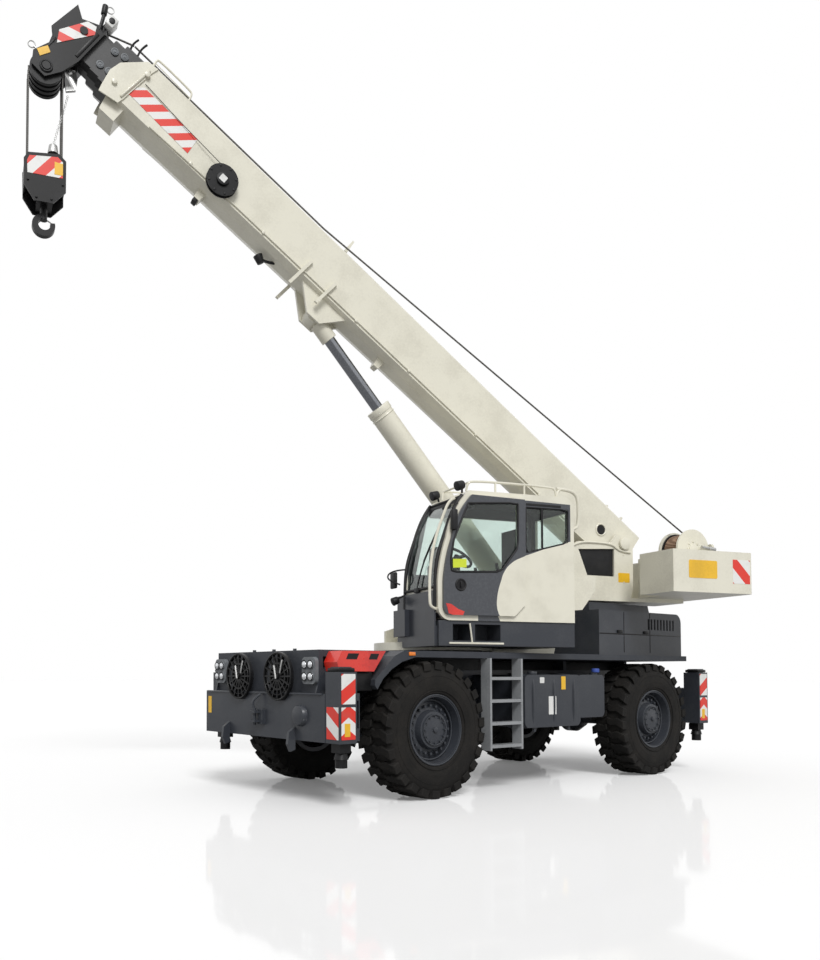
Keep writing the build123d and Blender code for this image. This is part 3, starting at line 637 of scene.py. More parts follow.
def makeLug(side):
    # one tread block, wavy across the tread and running over the shoulder
    length, deep = wheel["lugLong"], wheel["lugHigh"] + wheel["lugRoot"]
    clearSelection()
    bpy.ops.mesh.primitive_cube_add(size=1)
    lug = bpy.context.object
    lug.scale = (wheel["lugWide"], length, deep)
    bpy.ops.object.transform_apply(location=False, rotation=False, scale=True)
    bpy.ops.object.mode_set(mode="EDIT")
    bpy.ops.mesh.select_all(action="SELECT")
    bpy.ops.mesh.subdivide(number_cuts=4)
    bpy.ops.object.mode_set(mode="OBJECT")
    top = wheel["outer"] - deep / 2
    for vertex in lug.data.vertices:
        across = vertex.co.y + length / 2  # 0 in the middle of the tread
        share = across / length
        sway = 0.05 * share + 0.016 * math.sin(across * 34)
        over = max(0.0, across - wheel["shoulder"])
        vertex.co.x = vertex.co.x * (0.75 + 0.25 * share) + sway
        vertex.co.z = vertex.co.z + top - 0.30 * over ** 1.1
        vertex.co.y = side * (across + 0.006)
    applyModifier(lug, "BEVEL", width=0.006, segments=1, limit_method="ANGLE")
    return lug


def makeTyre():
    # the carcass, turned from its section, and two staggered rows of lugs
    reach = wheel["carcass"]
    section = [*wheel["wall"], (reach - 0.012, -0.195), (reach, -0.15), (reach + 0.004, 0.0)]
    section += [(r, -y) for r, y in reversed(section[:-1])]
    line, spline = startLine("carcass", "3D", "POLY", [(r, y, 0) for r, y in section])
    carcass = lineToMesh(line)
    applyModifier(carcass, "SCREW", axis="Y", steps=96, render_steps=96, use_merge_vertices=True,
                  use_normal_calculate=True)
    parts = [carcass]
    for side in (-1, 1):
        lug = makeLug(side)
        for number in range(wheel["lugs"]):
            turn = 360 / wheel["lugs"] * (number + (0.5 if side > 0 else 0))
            parts.append(placeCopy(lug, Matrix.Rotation(math.radians(turn), 4, "Y")))
        bpy.data.objects.remove(lug)
        for bead in wheel["beads"]:
            parts.append(addRing(ownFrame, (0, side * (wheel["half"] - 0.006), 0), (0, 1, 0), bead, 0.006,
                                 segments=72, sides=6))
    return join(parts)


def makeRimDetail():
    # bolts round the hub, the rim's lips and the hub's cap
    parts = [addRing(ownFrame, (0, y, 0), (0, 1, 0), radius, thick, segments=segments, sides=8)
             for y, radius, thick, segments in wheel["lips"]]
    for count, radius, near, far, thick in wheel["bolts"]:
        for spot in circleSpots(count, radius):
            parts.append(addPin(ownFrame, spot, near, far, thick, vertices=6))
    parts.append(addPin(ownFrame, (0, 0), 0.15, 0.214, 0.03, vertices=12, bevel=0.004))
    return join(parts)


masterTyre = makeTyre()
masterRim = makeRimDetail()
for end, x in (("front", crane["wheelX"]), ("rear", -crane["wheelX"])):
    for sideName, side in (("left", 1), ("right", -1)):
        corner = f"{end}_{sideName}"
        place = (carrierFrame @ Matrix.Translation((x, side * crane["wheelY"], crane["axleZ"]))
                 @ Matrix.Rotation(0 if side > 0 else math.pi, 4, "Z"))
        settle(placeCopy(masterTyre, place), "tread_" + corner, "wheel_" + corner, "rubber",
               stands=("tyre_" + corner,))
        settle(placeCopy(masterRim, place), "wheelNuts_" + corner, "wheel_" + corner, "grey")
for master in (masterTyre, masterRim):
    bpy.data.objects.remove(master)


print("boom")
boomTrim = {
    "panel": ((8.319, -0.130), (8.214, -0.006), (7.433, -0.009), (7.415, -0.233), (8.302, -0.200)),
    "stripe": (0.763, 0.0, 0.647),
    "period": 0.165,
    "start": (8.311, 0.0, -0.165),
    "studs": ((8.274, 0.127), (8.474, -0.228)),
    "pipe": ((0.9, -0.305), (2.5, -0.305), (5.0, -0.305), (7.2, -0.305), (7.9, -0.33)),
    "clamps": (1.4, 2.6, 3.8, 4.7, 6.2, 7.3),
    "hole": (0.37, -0.043),
}


def makeBoomTrim():
    half = crane["boomHalf"]
    boomStripe = makeStripes("boomStripes", boomFrame, boomTrim["stripe"], boomTrim["period"], boomTrim["start"],
                             first="white")
    parts = [addPlate(boomFrame, boomTrim["panel"], side * (half + 0.0025), 0.004) for side in (-1, 1)]
    settle(parts, "boomStripePanels", "boom", boomStripe, "cream_paint")
    parts = [
        addTube(boomFrame, ((8.31, 0.16, 0.29), (8.33, 0.16, 0.40), (8.30, 0.16, 0.42), (7.86, 0.16, 0.42),
                            (7.80, 0.16, 0.40), (7.79, 0.16, 0.29)), 0.012, sides=2),
        addTube(boomFrame, ((8.33, 0.16, 0.36), (7.80, 0.16, 0.345)), 0.005, order=2, sides=1),
    ]
    for side in (-1, 1):
        for spot in boomTrim["studs"]:
            parts.append(addPin(boomFrame, spot, side * (half + 0.01), side * (half + 0.045), 0.032, bevel=0.006))
        parts.append(addRod(boomFrame, (8.285, side * (half + 0.02), 0.19), (8.325, side * (half + 0.02), -0.31),
                            0.016, bevel=0.004))
        pipe = [(u, side * (half + 0.012), v) for u, v in boomTrim["pipe"]]
        parts.append(addTube(boomFrame, pipe, 0.009, sides=2))
        for u in boomTrim["clamps"]:
            parts.append(addBox(boomFrame, (u, side * half, -0.325), (u + 0.03, side * (half + 0.024), -0.285), 0.003))
    settle(parts, "boomRails", "boom", "cream")
    u, v = boomTrim["hole"]
    shade = addPin(boomFrame, (u, v), half - 0.004, half + 0.004, 0.075, vertices=32)
    settle(shade, "boomHoleShade", "boom", "black")
    rim = addRing(boomFrame, (u, half + 0.002, v), (0, 1, 0), 0.078, 0.012)
    settle(rim, "boomHoleRim", "boom", "cream")
    reach = crane["cheekOut"]
    footX, _, footZ = crane["foot"]
    caps = [addPin(upperFrame, (footX, footZ), side * (reach + 0.002), side * (reach + 0.045), 0.085, vertices=32,
                   bevel=0.008) for side in (-1, 1)]
    settle(caps, "boomPinCaps", "upper", "cream")
    lampParts = [
        addTube(boomFrame, ((5.90, 0.0, -0.375), (5.98, 0.0, -0.44), (6.05, 0.0, -0.46)), 0.018, sides=2),
        addRod(boomFrame, (6.02, 0.0, -0.50), (6.11, 0.0, -0.45), 0.045, vertices=20, tip=0.06, bevel=0.005),
        addBox(boomFrame, (7.02, -0.05, -0.53), (7.08, 0.05, -0.375)),
    ]
    settle(lampParts, "boomWorkLamp", "boom", "plastic")


reel = {
    "middle": (6.93, -0.22),
    "turns": 9,
    "pitch": 0.0038,
    "wound": 0.152,
    "spokes": 8,
    "spokeOut": 0.165,
    "plateHalf": 0.04,
}


def makeReelTrim():
    side = crane["boomHalf"]
    u, v = reel["middle"]
    parts = [addRing(boomFrame, (u, side + 0.049 + reel["pitch"] * turn, v), (0, 1, 0), reel["wound"], 0.0035,
                     segments=48, sides=6) for turn in range(reel["turns"])]
    for x, z in circleSpots(reel["spokes"], reel["spokeOut"], u, v):
        parts.append(addBox(boomFrame, (x - 0.012, side + 0.094, z - 0.012), (x + 0.012, side + 0.102, z + 0.012),
                            0.003))
    parts.append(addPin(boomFrame, (u, v), side + 0.105, side + 0.122, 0.075, vertices=32, bevel=0.006))
    settle(parts, "reelCable", "boom", "plastic")
    half = reel["plateHalf"]
    label = addPlate(boomFrame, roundOutline(u - half, u + half, v - half, v + half, 0.008, 3), side + 0.124, 0.003)
    settle(label, "reelPlate", "boom", "white", "cream_paint")
    line = addTube(boomFrame, ((u, side + 0.06, -0.07), (7.6, side + 0.014, -0.02), (8.2, side + 0.012, 0.03),
                               (8.23, side + 0.012, 0.03)), 0.004, sides=1)
    settle(line, "reelLine", "boom", "plastic")


sections = {
    "rollersInner": ("mid_two", 0.1565, ((8.72, -0.15), (8.70, 0.096))),
    "rollersOuter": ("mid_one", 0.1825, ((8.60, -0.156), (8.58, 0.115))),
    "prongs": ((8.60, 0.17), (8.50, 0.20)),
}


def makeSectionRollers():
    for name in ("rollersInner", "rollersOuter"):
        body, y, spots = sections[name]
        parts = []
        for u, v in spots:
            for side in (-1, 1):
                parts.append(addPin(boomFrame, (u, v), side * y, side * (y + 0.015), 0.045, bevel=0.004))
                parts.append(addRing(boomFrame, (u, side * (y + 0.014), v), (0, 1, 0), 0.030, 0.006, segments=24,
                                     sides=8))
                parts.append(addPin(boomFrame, (u, v), side * y, side * (y + 0.021), 0.014, vertices=6))
        settle(parts, name, body, "greyPlastic", "dark_steel")
    prongs = [addTube(boomFrame, ((u, side * 0.13, 0.262), (u + 0.04, side * 0.14, v + 0.16),
                                  (u + 0.01, side * 0.15, v + 0.26)), 0.012, sides=2)
              for u, v in sections["prongs"] for side in (-1, 1)]
    settle(prongs, "ropeProngs", "mid_one", "black")


makeBoomTrim()
makeReelTrim()
makeSectionRollers()


print("boom head")
head = {
    "sheavePin": (9.087, -0.637),
    "upperPin": (9.06, 0.0),
    "panel": ((9.17, -0.34), (9.245, -0.20), (9.10, 0.12), (9.00, 0.15), (8.955, 0.06)),
    "panelY": 0.184,
    "stripe": (0.35, 0.0, 0.94),
    "period": 0.20,
    "start": (9.17, 0, -0.30),
    "yellow": ((9.215, -0.44), (9.27, -0.56), (9.20, -0.60), (9.15, -0.48)),
    "horn": ((9.20, -0.36), (9.31, -0.23), (9.22, -0.30)),
}


def makeHeadTrim():
    face = head["panelY"]
    stripe = makeStripes("headStripes", boomFrame, head["stripe"], head["period"], head["start"])
    parts = [addPlate(boomFrame, head["panel"], side * face, 0.004) for side in (-1, 1)]
    settle(parts, "headStripePanels", "tip", stripe, "dark_steel")
    settle(addPlate(boomFrame, head["yellow"], face, 0.004), "headYellowPlate", "tip", "yellow", "dark_steel")
    parts = [
        addBox(boomFrame, (8.90, -0.14, 0.12), (8.98, 0.14, 0.30), 0.01),
        addTube(boomFrame, ((8.96, 0.16, 0.15), (9.00, 0.16, 0.26), (9.05, 0.16, 0.37)), 0.022),
        addRod(boomFrame, (9.04, 0.16, 0.34), (9.09, 0.16, 0.44), 0.034, vertices=16, bevel=0.006),
        addBox(boomFrame, (8.92, -0.19, -0.30), (8.96, 0.19, 0.10), 0.008),
        addBox(boomFrame, (9.20, -0.185, -0.46), (9.22, 0.185, -0.30), 0.004),
    ]
    u, v = head["sheavePin"]
    for side in (-1, 1):
        parts.append(addRing(boomFrame, (u, side * 0.185, v), (0, 1, 0), 0.06, 0.012))
        for spot in (head["sheavePin"], head["upperPin"]):
            parts.append(addPin(boomFrame, spot, side * 0.18, side * 0.20, 0.045, vertices=20))
        parts.append(addPlate(boomFrame, head["horn"], side * 0.19, 0.012))
    settle(parts, "headFittings", "tip", "black")
    lamp = addBox(boomFrame, (8.86, 0.10, 0.24), (8.96, 0.24, 0.37), 0.012)
    settle(lamp, "headLampBox", "tip", "white", "cream_paint")
    eye = addPin(boomFrame, (8.91, 0.305), 0.235, 0.25, 0.035, vertices=20, bevel=0.004)
    settle(eye, "headLampLens", "tip", "plastic")
    rings = [addRing(boomFrame, spot, (0, 1, 0), 0.038, 0.007, segments=24, sides=8)
             for spot in ((9.02, 0.16, 0.44), (9.36, 0.12, -0.53))]
    rings.append(addRod(boomFrame, (9.27, 0.12, -0.53), (9.33, 0.12, -0.53), 0.012, vertices=10))
    settle(rings, "headShackles", "tip", "steel")


wedge = {
    "y": 0.08,
    "outline": ((8.96, -0.46), (8.88, -0.385), (8.80, -0.44), (8.735, -0.56), (8.80, -0.65), (8.88, -0.57)),
    "pin": (8.90, -0.45),
    "chainTop": (8.760, -0.665),
    "chainEnd": (8.524, -1.242),
    "links": 24,
    "weightHigh": 0.10,
}


def makeWedge():
    # the rope's dead end: wedge socket, chain and the weight that stops the block
    y = wedge["y"]
    parts = [addPlate(boomFrame, wedge["outline"], y, 0.038, bevel=0.006),
             addPin(boomFrame, wedge["pin"], y - 0.023, y + 0.023, 0.022, vertices=16, bevel=0.003)]
    settle(parts, "wedgeSocket", "tip", "steel")
    top, end = [boomFrame @ Vector((u, y, v)) for u, v in (wedge["chainTop"], wedge["chainEnd"])]
    links = []
    for number in range(wedge["links"]):
        spot = top.lerp(end, (number + 0.5) / wedge["links"])
        axis = (1, 0.2, 0) if number % 2 else (0.2, 1, 0)
        links.append(addRing(ownFrame, spot, axis, 0.012, 0.0035, segments=12, sides=6))
    chain = settle(links, "stopChain", None, "steel")
    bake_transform(chain)
    weight = addRod(ownFrame, end, (end.x, end.y, end.z - wedge["weightHigh"]), 0.045, tip=0.062, bevel=0.01)
    settle(weight, "stopWeight", "block", "steel")


makeHeadTrim()
makeWedge()


print("hook block")
block = {
    "plate": ((-0.135, -0.02), (0.165, -0.055), (0.19, -0.11), (0.185, -0.25), (-0.19, -0.25), (-0.19, -0.07)),
    "yellow": ((-0.19, -0.09), (-0.10, -0.08), (-0.10, -0.22), (-0.19, -0.22)),
    "bolts": ((-0.19, -0.32), (0.18, -0.32), (0.09, -0.50), (-0.07, -0.50)),
}


def makeBlockTrim():
    u, v = head["sheavePin"]
    pin = upperFrame.inverted() @ (boomFrame @ Vector((u, 0, v)))
    place = upperFrame @ Matrix.Translation((pin.x, 0, pin.z - crane["fall"]))
    stripe = makeStripes("blockStripes", place, (0.75, 0, 0.66), 0.21, (0.19, 0, 0.0), first="white")
    parts = [addPlate(place, block["plate"], side * 0.172, 0.004) for side in (-1, 1)]
    settle(parts, "blockStripePanels", "block", stripe, "dark_steel")
    parts = [addPlate(place, block["yellow"], side * 0.176, 0.003) for side in (-1, 1)]
    settle(parts, "blockYellowPlates", "block", "yellow", "dark_steel")
    parts = [addPin(place, spot, side * 0.17, side * 0.184, 0.014, vertices=6)
             for side in (-1, 1) for spot in block["bolts"]]
    parts.append(addBox(place, (-0.22, -0.15, -0.34), (-0.20, 0.15, -0.06), 0.005))
    parts.append(addBox(place, (0.20, -0.15, -0.34), (0.22, 0.15, -0.10), 0.005))
    parts.append(addRing(place, (0.0, 0.0, 0.03), (0, 1, 0), 0.035, 0.012, segments=20, sides=8))
    settle(parts, "blockFittings", "block", "black")
    latch = addTube(place, ((-0.02, 0, -0.66), (-0.10, 0, -0.69), (-0.115, 0, -0.735)), 0.008, sides=2)
    settle(latch, "hookLatch", "hook_body", "steel")


makeBlockTrim()


print("ropes")
rope = {
    "radius": 0.011,
    "drum": (-3.70, 3.06),
    "wound": 0.2115,
    "wraps": 11,
    "firstWrap": 0.312,
    "pitch": 0.0225,
    "leave": (-3.820, 0.42, 3.234),
    "pieces": 24,
    "bend": 0.25,
    "land": (5.70, 0.045, 0.42),
}


def makeRopes():
    # from the drum to the boom's top, along it, and over the head
    radius = rope["radius"]
    winchEnd = upperFrame @ Vector(rope["leave"])
    landing = boomFrame @ Vector(rope["land"])
    points = [winchEnd.lerp(landing, number / rope["pieces"]) for number in range(rope["pieces"] + 1)]
    span = settle(addTube(ownFrame, points, radius, order=2, sides=2), "hoistRopeSpan", None, "rope")
    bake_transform(span)
    run = addTube(boomFrame, (rope["land"], (8.62, 0.05, 0.40)), radius, order=2, sides=2)
    settle(run, "hoistRopeRun", "boom", "rope")
    tail = addTube(boomFrame, ((8.63, 0.05, 0.399), (8.95, 0.06, 0.24), (9.06, 0.06, 0.16), (9.16, 0.06, 0.13),
                               (9.21, 0.06, 0.02)), radius, sides=2)
    settle(tail, "hoistRopeTail", "tip", "rope")


def makeDrumRope():
    x, z = rope["drum"]
    wraps = [addRing(upperFrame, (x, rope["firstWrap"] + number * rope["pitch"], z), (0, 1, 0), rope["wound"],
                     0.0115, segments=64, sides=8) for number in range(rope["wraps"])]
    settle(wraps, "drumRope", "winch", "drumRope")


makeRopes()
makeDrumRope()


print("upper works")
upper = {
    "sideY": 1.3015,
    "yellow": (-3.418, -2.957, 2.57, 2.80, 0.02),
    "yellowSmall": (-2.90, -2.71, 2.60, 2.73, 0.01),
    "stripes": (-3.965, -3.68, 2.52, 2.83),
    "flange": ((-1.93, 3.05), (-2.06, 3.125), (-2.35, 3.128), (-2.60, 3.118), (-2.70, 3.05), (-2.79, 3.02),
               (-2.91, 3.014)),
    "studs": ((-2.80, 2.98), (-2.80, 2.60), (-2.10, 2.58)),
    "hoses": 4,
    "winchBolts": (8, 0.10),
}


def makeUpperTrim():
    face = crane["cheekOut"]
    parts = [addPlate(upperFrame, roundOutline(*upper["yellow"], 3), upper["sideY"], 0.003),
             addPlate(upperFrame, roundOutline(*upper["yellowSmall"], 3), face + 0.0015, 0.003)]
    settle(parts, "yellowPlates", "upper", "yellow", "cream_paint")
    rear = makeStripes("rearStripes", upperFrame, (0.70, 0, -0.72), 0.26, (-3.825, 1.3, 2.76))
    x0, x1, z0, z1 = upper["stripes"]
    parts = [addPlate(upperFrame, ((x0, z0), (x1, z0), (x1, z1), (x0, z1)), side * upper["sideY"], 0.003)
             for side in (-1, 1)]
    settle(parts, "rearStripePanels", "upper", rear, "cream_paint")
    # the rounded flange over the opening in the cheek, and a black sheet behind it as painted shade in the opening
    flange = [addTube(upperFrame, [(x, face + 0.01, z) for x, z in upper["flange"]], 0.014, sides=2)]
    flange += [addPin(upperFrame, spot, face, face + 0.008, 0.012, vertices=6) for spot in upper["studs"]]
    settle(flange, "cheekFlange", "upper", "cream")
    # a black sheet standing in for the shade inside the cheek opening
    dark = addBox(upperFrame, (-2.66, face - 0.038, 2.66), (-2.04, face - 0.03, 3.06), 0.0)
    settle(dark, "cheekOpeningShade", "upper", "plastic")
    hoses = []
    for number in range(upper["hoses"]):
        shift = 0.05 * number
        points = ((-2.0 - shift, 0.30 + shift, 2.40), (-1.9 - shift, 0.32, 2.55), (-1.75 - shift, 0.34, 2.65),
                  (-1.60, 0.30 + shift / 2, 2.70))
        hoses.append(addTube(upperFrame, points, 0.014, sides=2))
    settle(hoses, "liftHoses", "upper", "plastic")
    x, z = rope["drum"]
    winch = [addRod(upperFrame, (-3.98, 0.62, 3.10), (-4.02, 0.62, 3.10), 0.04, vertices=20),
             addBox(upperFrame, (-3.55, 0.612, 2.94), (-3.50, 0.63, 3.02), 0.004),
             addPin(upperFrame, (x, z), 0.60, 0.625, 0.07, vertices=28, bevel=0.006)]
    winch += [addPin(upperFrame, spot, 0.61, 0.622, 0.011, vertices=6)
              for spot in circleSpots(*upper["winchBolts"], x, z)]
    settle(winch, "winchTrim", "upper", "cream")
    motor = [addRod(upperFrame, (-3.92, 0.66, 3.07), (-4.03, 0.66, 3.055), 0.032, vertices=20, bevel=0.005),
             addRod(upperFrame, (-3.80, 0.66, 3.085), (-3.92, 0.66, 3.07), 0.022, vertices=16)]
    settle(motor, "winchMotor", "upper", "steel")


makeUpperTrim()


print("cylinder")
cylinder = {
    "gland": (3.29, 3.374, 0.158),
    "bead": (3.25, 0.150, 0.010),
    "pipe": ((0.6, -0.17, 0.02), (0.7, -0.175, 0.03), (3.0, -0.175, 0.03), (3.15, -0.165, 0.02)),
    "clamps": (0.9, 1.7, 2.5),
}


def makeCylinderTrim():
    # the barrel's gland and weld bead, and the pipe clamped to its far side
    start, end, radius = cylinder["gland"]
    beadX, beadOut, beadThick = cylinder["bead"]
    parts = [addRod(cylinderFrame, (start, 0, 0), (end, 0, 0), radius, vertices=48, bevel=0.006),
             addRing(cylinderFrame, (beadX, 0, 0), (1, 0, 0), beadOut, beadThick, segments=48, sides=8),
             addTube(cylinderFrame, cylinder["pipe"], 0.016, sides=2)]
    for x in cylinder["clamps"]:
        parts.append(addBox(cylinderFrame, (x, -0.20, 0.0), (x + 0.05, -0.13, 0.06), 0.006))
    settle(parts, "barrelFittings", "barrel", "cream")


makeCylinderTrim()


print("cab")
cab = {
    "doorY": 1.306,
    "sideY": 1.261,
    "screenY": (0.47, 1.215),
    "front": ((0.259, 3.414), (0.377, 3.267), (0.509, 2.904), (0.588, 2.684), (0.615, 2.444), (0.617, 2.116)),
    "doorGlass": ((0.241, 3.304), (-0.425, 3.349), (-0.420, 2.825), (-0.186, 2.533), (0.460, 2.507),
                  (0.472, 2.644), (0.432, 2.874)),
    "sideGlass": ((-0.563, 3.317), (-1.156, 3.320), (-1.151, 2.921), (-0.557, 2.772)),
    "handle": (0.345, 2.363),
    "lime": ((0.265, 2.565), (0.441, 2.555), (0.441, 2.655), (0.265, 2.662)),
    "red": ((0.52, 2.10), (0.505, 2.035), (0.45, 2.018), (0.32, 2.018), (0.30, 2.06), (0.38, 2.085), (0.47, 2.14),
            (0.54, 2.15)),
}


def makeCabRails():
    # the grab rail at the front corner, the roof rails, and the pipes behind the roof
    rails = [addTube(upperFrame, points, radius) for radius, points in (
        (0.017, ((0.36, 1.20, 3.37), (0.441, 1.22, 3.345), (0.54, 1.23, 3.12), (0.64, 1.23, 2.86), (0.70, 1.23, 2.53),
                 (0.705, 1.23, 2.20), (0.69, 1.23, 2.09), (0.56, 1.21, 2.08))),
        (0.014, ((0.18, 1.16, 3.46), (0.18, 1.17, 3.56), (0.10, 1.18, 3.60), (-0.95, 1.18, 3.60),
                 (-1.05, 1.18, 3.575), (-1.06, 1.17, 3.47))),
        (0.012, ((0.15, 0.55, 3.46), (0.15, 0.54, 3.57), (0.08, 0.53, 3.60), (-0.95, 0.53, 3.60),
                 (-1.05, 0.53, 3.575), (-1.06, 0.54, 3.47))),
        (0.020, ((-1.10, 1.12, 3.60), (-1.25, 1.12, 3.60), (-1.38, 1.12, 3.56), (-1.42, 1.12, 3.45),
                 (-1.415, 1.12, 3.20), (-1.38, 1.12, 3.12), (-1.24, 1.12, 3.10))),
        (0.020, ((-1.10, 1.12, 3.47), (-1.10, 1.12, 3.60), (-1.18, 1.12, 3.60))),
    )]
    rails += [addTube(upperFrame, ends, 0.012, order=2) for ends in (
        ((0.12, 0.54, 3.59), (0.12, 1.17, 3.59)),
        ((-0.2, 1.18, 3.46), (-0.2, 1.18, 3.60)),
        ((-0.6, 1.18, 3.46), (-0.6, 1.18, 3.60)),
    )]
    settle(rails, "cabRails", "upper", "cream")


def makeCabSeals():
    near, far = cab["screenY"]
    bars = [addTube(upperFrame, [(x + 0.012, y, z) for x, z in cab["front"]], 0.022, sides=2) for y in (near, far)]
    bars += [addTube(upperFrame, ((x, near, z), (x, far, z)), 0.018, order=2, sides=2)
             for x, z in ((0.63, 2.34), (0.27, 3.40))]
    settle(bars, "screenSeal", "upper", "plastic")
    wiper = [addTube(upperFrame, ((0.635, 0.80, 2.36), (0.615, 0.86, 2.60), (0.55, 0.98, 2.86)), 0.009, sides=2),
             addTube(upperFrame, ((0.60, 0.90, 2.66), (0.53, 1.0, 2.92), (0.43, 1.02, 3.12)), 0.012, sides=2),
             addBox(upperFrame, (0.62, 0.76, 2.30), (0.66, 0.86, 2.36), 0.008)]
    settle(wiper, "cabWiper", "upper", "plastic")
    door = [(x, cab["doorY"], z) for x, z in closed(cab["doorGlass"])]
    settle(addTube(upperFrame, door, 0.013, order=2, sides=2), "doorSeal", "door", "plastic")
    window = [(x, cab["sideY"], z) for x, z in closed(cab["sideGlass"])]
    seal = [addTube(upperFrame, window, 0.012, order=2, sides=2),
            addBox(upperFrame, (-0.80, 1.255, 2.84), (-0.775, 1.268, 3.31), 0.003),
            addBox(upperFrame, (-1.05, 1.262, 3.335), (-0.56, 1.2735, 3.365), 0.003)]
    settle(seal, "sideWindowSeal", "upper", "plastic")


def makeDoorTrim():
    x, z = cab["handle"]
    handle = [addRing(upperFrame, (x, cab["doorY"], z), (0, 1, 0), 0.062, 0.012, segments=28, sides=8),
              addPin(upperFrame, (x, z), 1.29, 1.309, 0.052, vertices=28),
              addBox(upperFrame, (0.335, 1.30, 2.33), (0.355, 1.325, 2.40), 0.006)]
    settle(handle, "doorHandle", "door", "plastic")
    settle(addPlate(upperFrame, cab["lime"], 1.3, 0.003), "limePlate", "door", "lime", "cream_paint")
    settle(addPlate(upperFrame, cab["red"], 1.3085, 0.003), "doorRedPatch", "door", "red", "red_paint")


def makeCabLamps():
    # work lamps on the roof and beside the screen, the mirror and their brackets
    lamps = [
        addRod(upperFrame, (0.27, 1.24, 3.53), (0.36, 1.25, 3.50), 0.05, tip=0.058, bevel=0.008),
        addRod(upperFrame, (0.25, 0.62, 3.53), (0.34, 0.62, 3.50), 0.05, tip=0.058, bevel=0.008),
        addRod(upperFrame, (0.70, 0.42, 2.25), (0.77, 0.42, 2.22), 0.045, vertices=20, tip=0.052, bevel=0.006),
        addTube(upperFrame, ((0.26, 1.20, 3.44), (0.28, 1.24, 3.52)), 0.012, order=2),
        addTube(upperFrame, ((0.24, 0.62, 3.44), (0.26, 0.62, 3.52)), 0.012, order=2),
        addTube(upperFrame, ((0.63, 0.46, 2.30), (0.69, 0.42, 2.27)), 0.012, order=2),
        addTube(upperFrame, ((0.60, 0.44, 2.62), (0.74, 0.30, 2.62), (0.78, 0.25, 2.50), (0.66, 0.40, 2.44)), 0.010,
                sides=2),
        addTube(upperFrame, ((0.36, 1.27, 3.30), (0.43, 1.33, 3.28), (0.435, 1.33, 3.20)), 0.012, sides=2),
        addBox(upperFrame, (0.40, 1.285, 2.98), (0.47, 1.36, 3.22), 0.02),
        addBox(upperFrame, (0.66, 0.20, 2.40), (0.70, 0.34, 2.60), 0.015),
    ]
    settle(lamps, "cabLamps", "upper", "plastic")


def makeCabEdges():
    # the gap behind the door's rear edge, and the step under the cab with its stay
    gap = addBox(upperFrame, (-0.524, 1.2705, 2.16), (-0.518, 1.2725, 3.36), 0.0)
    settle(gap, "doorGap", "upper", "plastic")
    step = [addBox(upperFrame, (-0.25, 1.24, 1.690), (0.47, 1.262, 1.712), 0.004),
            addTube(upperFrame, ((0.20, 1.255, 1.93), (0.17, 1.255, 1.71)), 0.010, order=2, sides=2)]
    settle(step, "stepEdge", "upper", "cream")


def makeCabin():
    # the console, the display, two levers with their arm rests and the box over the screen
    parts = [addBox(upperFrame, low, high, bevel, 3) for low, high, bevel in (
        ((0.22, 0.60, 2.52), (0.40, 1.10, 2.66), 0.03),
        ((0.26, 0.62, 2.66), (0.38, 0.86, 2.86), 0.02),
        ((-0.46, 0.57, 2.40), (-0.10, 0.64, 2.47), 0.02),
        ((-0.46, 1.06, 2.40), (-0.10, 1.13, 2.47), 0.02),
        ((0.10, 0.47, 3.26), (0.30, 1.22, 3.38), 0.02),
    )]
    parts += [addRod(upperFrame, (-0.30, y, 2.46), (-0.26, y, 2.66), 0.02, vertices=16) for y in (0.62, 1.09)]
    settle(parts, "cabinControls", "upper", "plastic")


makeCabRails()
makeCabSeals()
makeDoorTrim()
makeCabLamps()
makeCabEdges()
makeCabin()


print("carrier")
jack = {
    "corners": (("front_left", 3.328, 1), ("front_right", 3.102, -1), ("rear_left", -3.062, 1),
                ("rear_right", -3.288, -1)),
    "y": 1.31,
    "face": 1.427,
    "plateHalf": 0.088,
    "period": 0.24,
}


def makePlates():
    # striped plates at the four jack housings
    half = jack["plateHalf"]
    for corner, x, side in jack["corners"]:
        beam = "beam_" + corner
        face, y = side * jack["face"], side * jack["y"]
        upperPlate = makeStripes("plateUpper_" + corner, carrierFrame, (0.55, 0, 0.83), jack["period"], (x, 0, 1.10))
        lowerPlate = makeStripes("plateLower_" + corner, carrierFrame, (0, 0, 1), jack["period"], (x, 0, 0.80),
                                 first="white", mirror=(1, 0, 0))
        frontPlate = makeStripes("plateFront_" + corner, carrierFrame, (0, side * 0.6, 0.8), 0.22,
                                 (0, side * 1.2, 0.7))
        up = addPlate(carrierFrame, roundOutline(x - half, x + half, 1.05, 1.35, 0.006, 2), face, 0.004)
        settle(up, "plateUp_" + corner, beam, upperPlate, "grey_paint")
        low = addPlate(carrierFrame, roundOutline(x - half, x + half, 0.70, 1.02, 0.006, 2), face, 0.004)
        settle(low, "plateLow_" + corner, beam, lowerPlate, "grey_paint")
        ahead = x + math.copysign(0.1095, x)
        end = addBox(carrierFrame, (ahead - 0.0015, side * 1.215, 0.70), (ahead + 0.0015, side * 1.405, 1.02), 0.0)
        settle(end, "plateEnd_" + corner, beam, frontPlate, "grey_paint")
        small = addPlate(carrierFrame, roundOutline(x - 0.02, x + 0.05, 0.73, 0.86, 0.004, 2), side * 1.4305, 0.002)
        settle(small, "plateSmall_" + corner, beam, "yellow", "grey_paint")
        cap = addBox(carrierFrame, (x - 0.10, side * 1.21, 1.372), (x + 0.10, side * 1.41, 1.41), 0.012)
        settle(cap, "housingCap_" + corner, beam, "black")
        collar = [addRod(carrierFrame, (x, y, 0.50), (x, y, 0.57), 0.075, tip=0.055),
                  addRod(carrierFrame, (x, y, 0.415), (x, y, 0.425), 0.055, tip=0.062)]
        settle(collar, "jackCollar_" + corner, "jack_" + corner, "black")


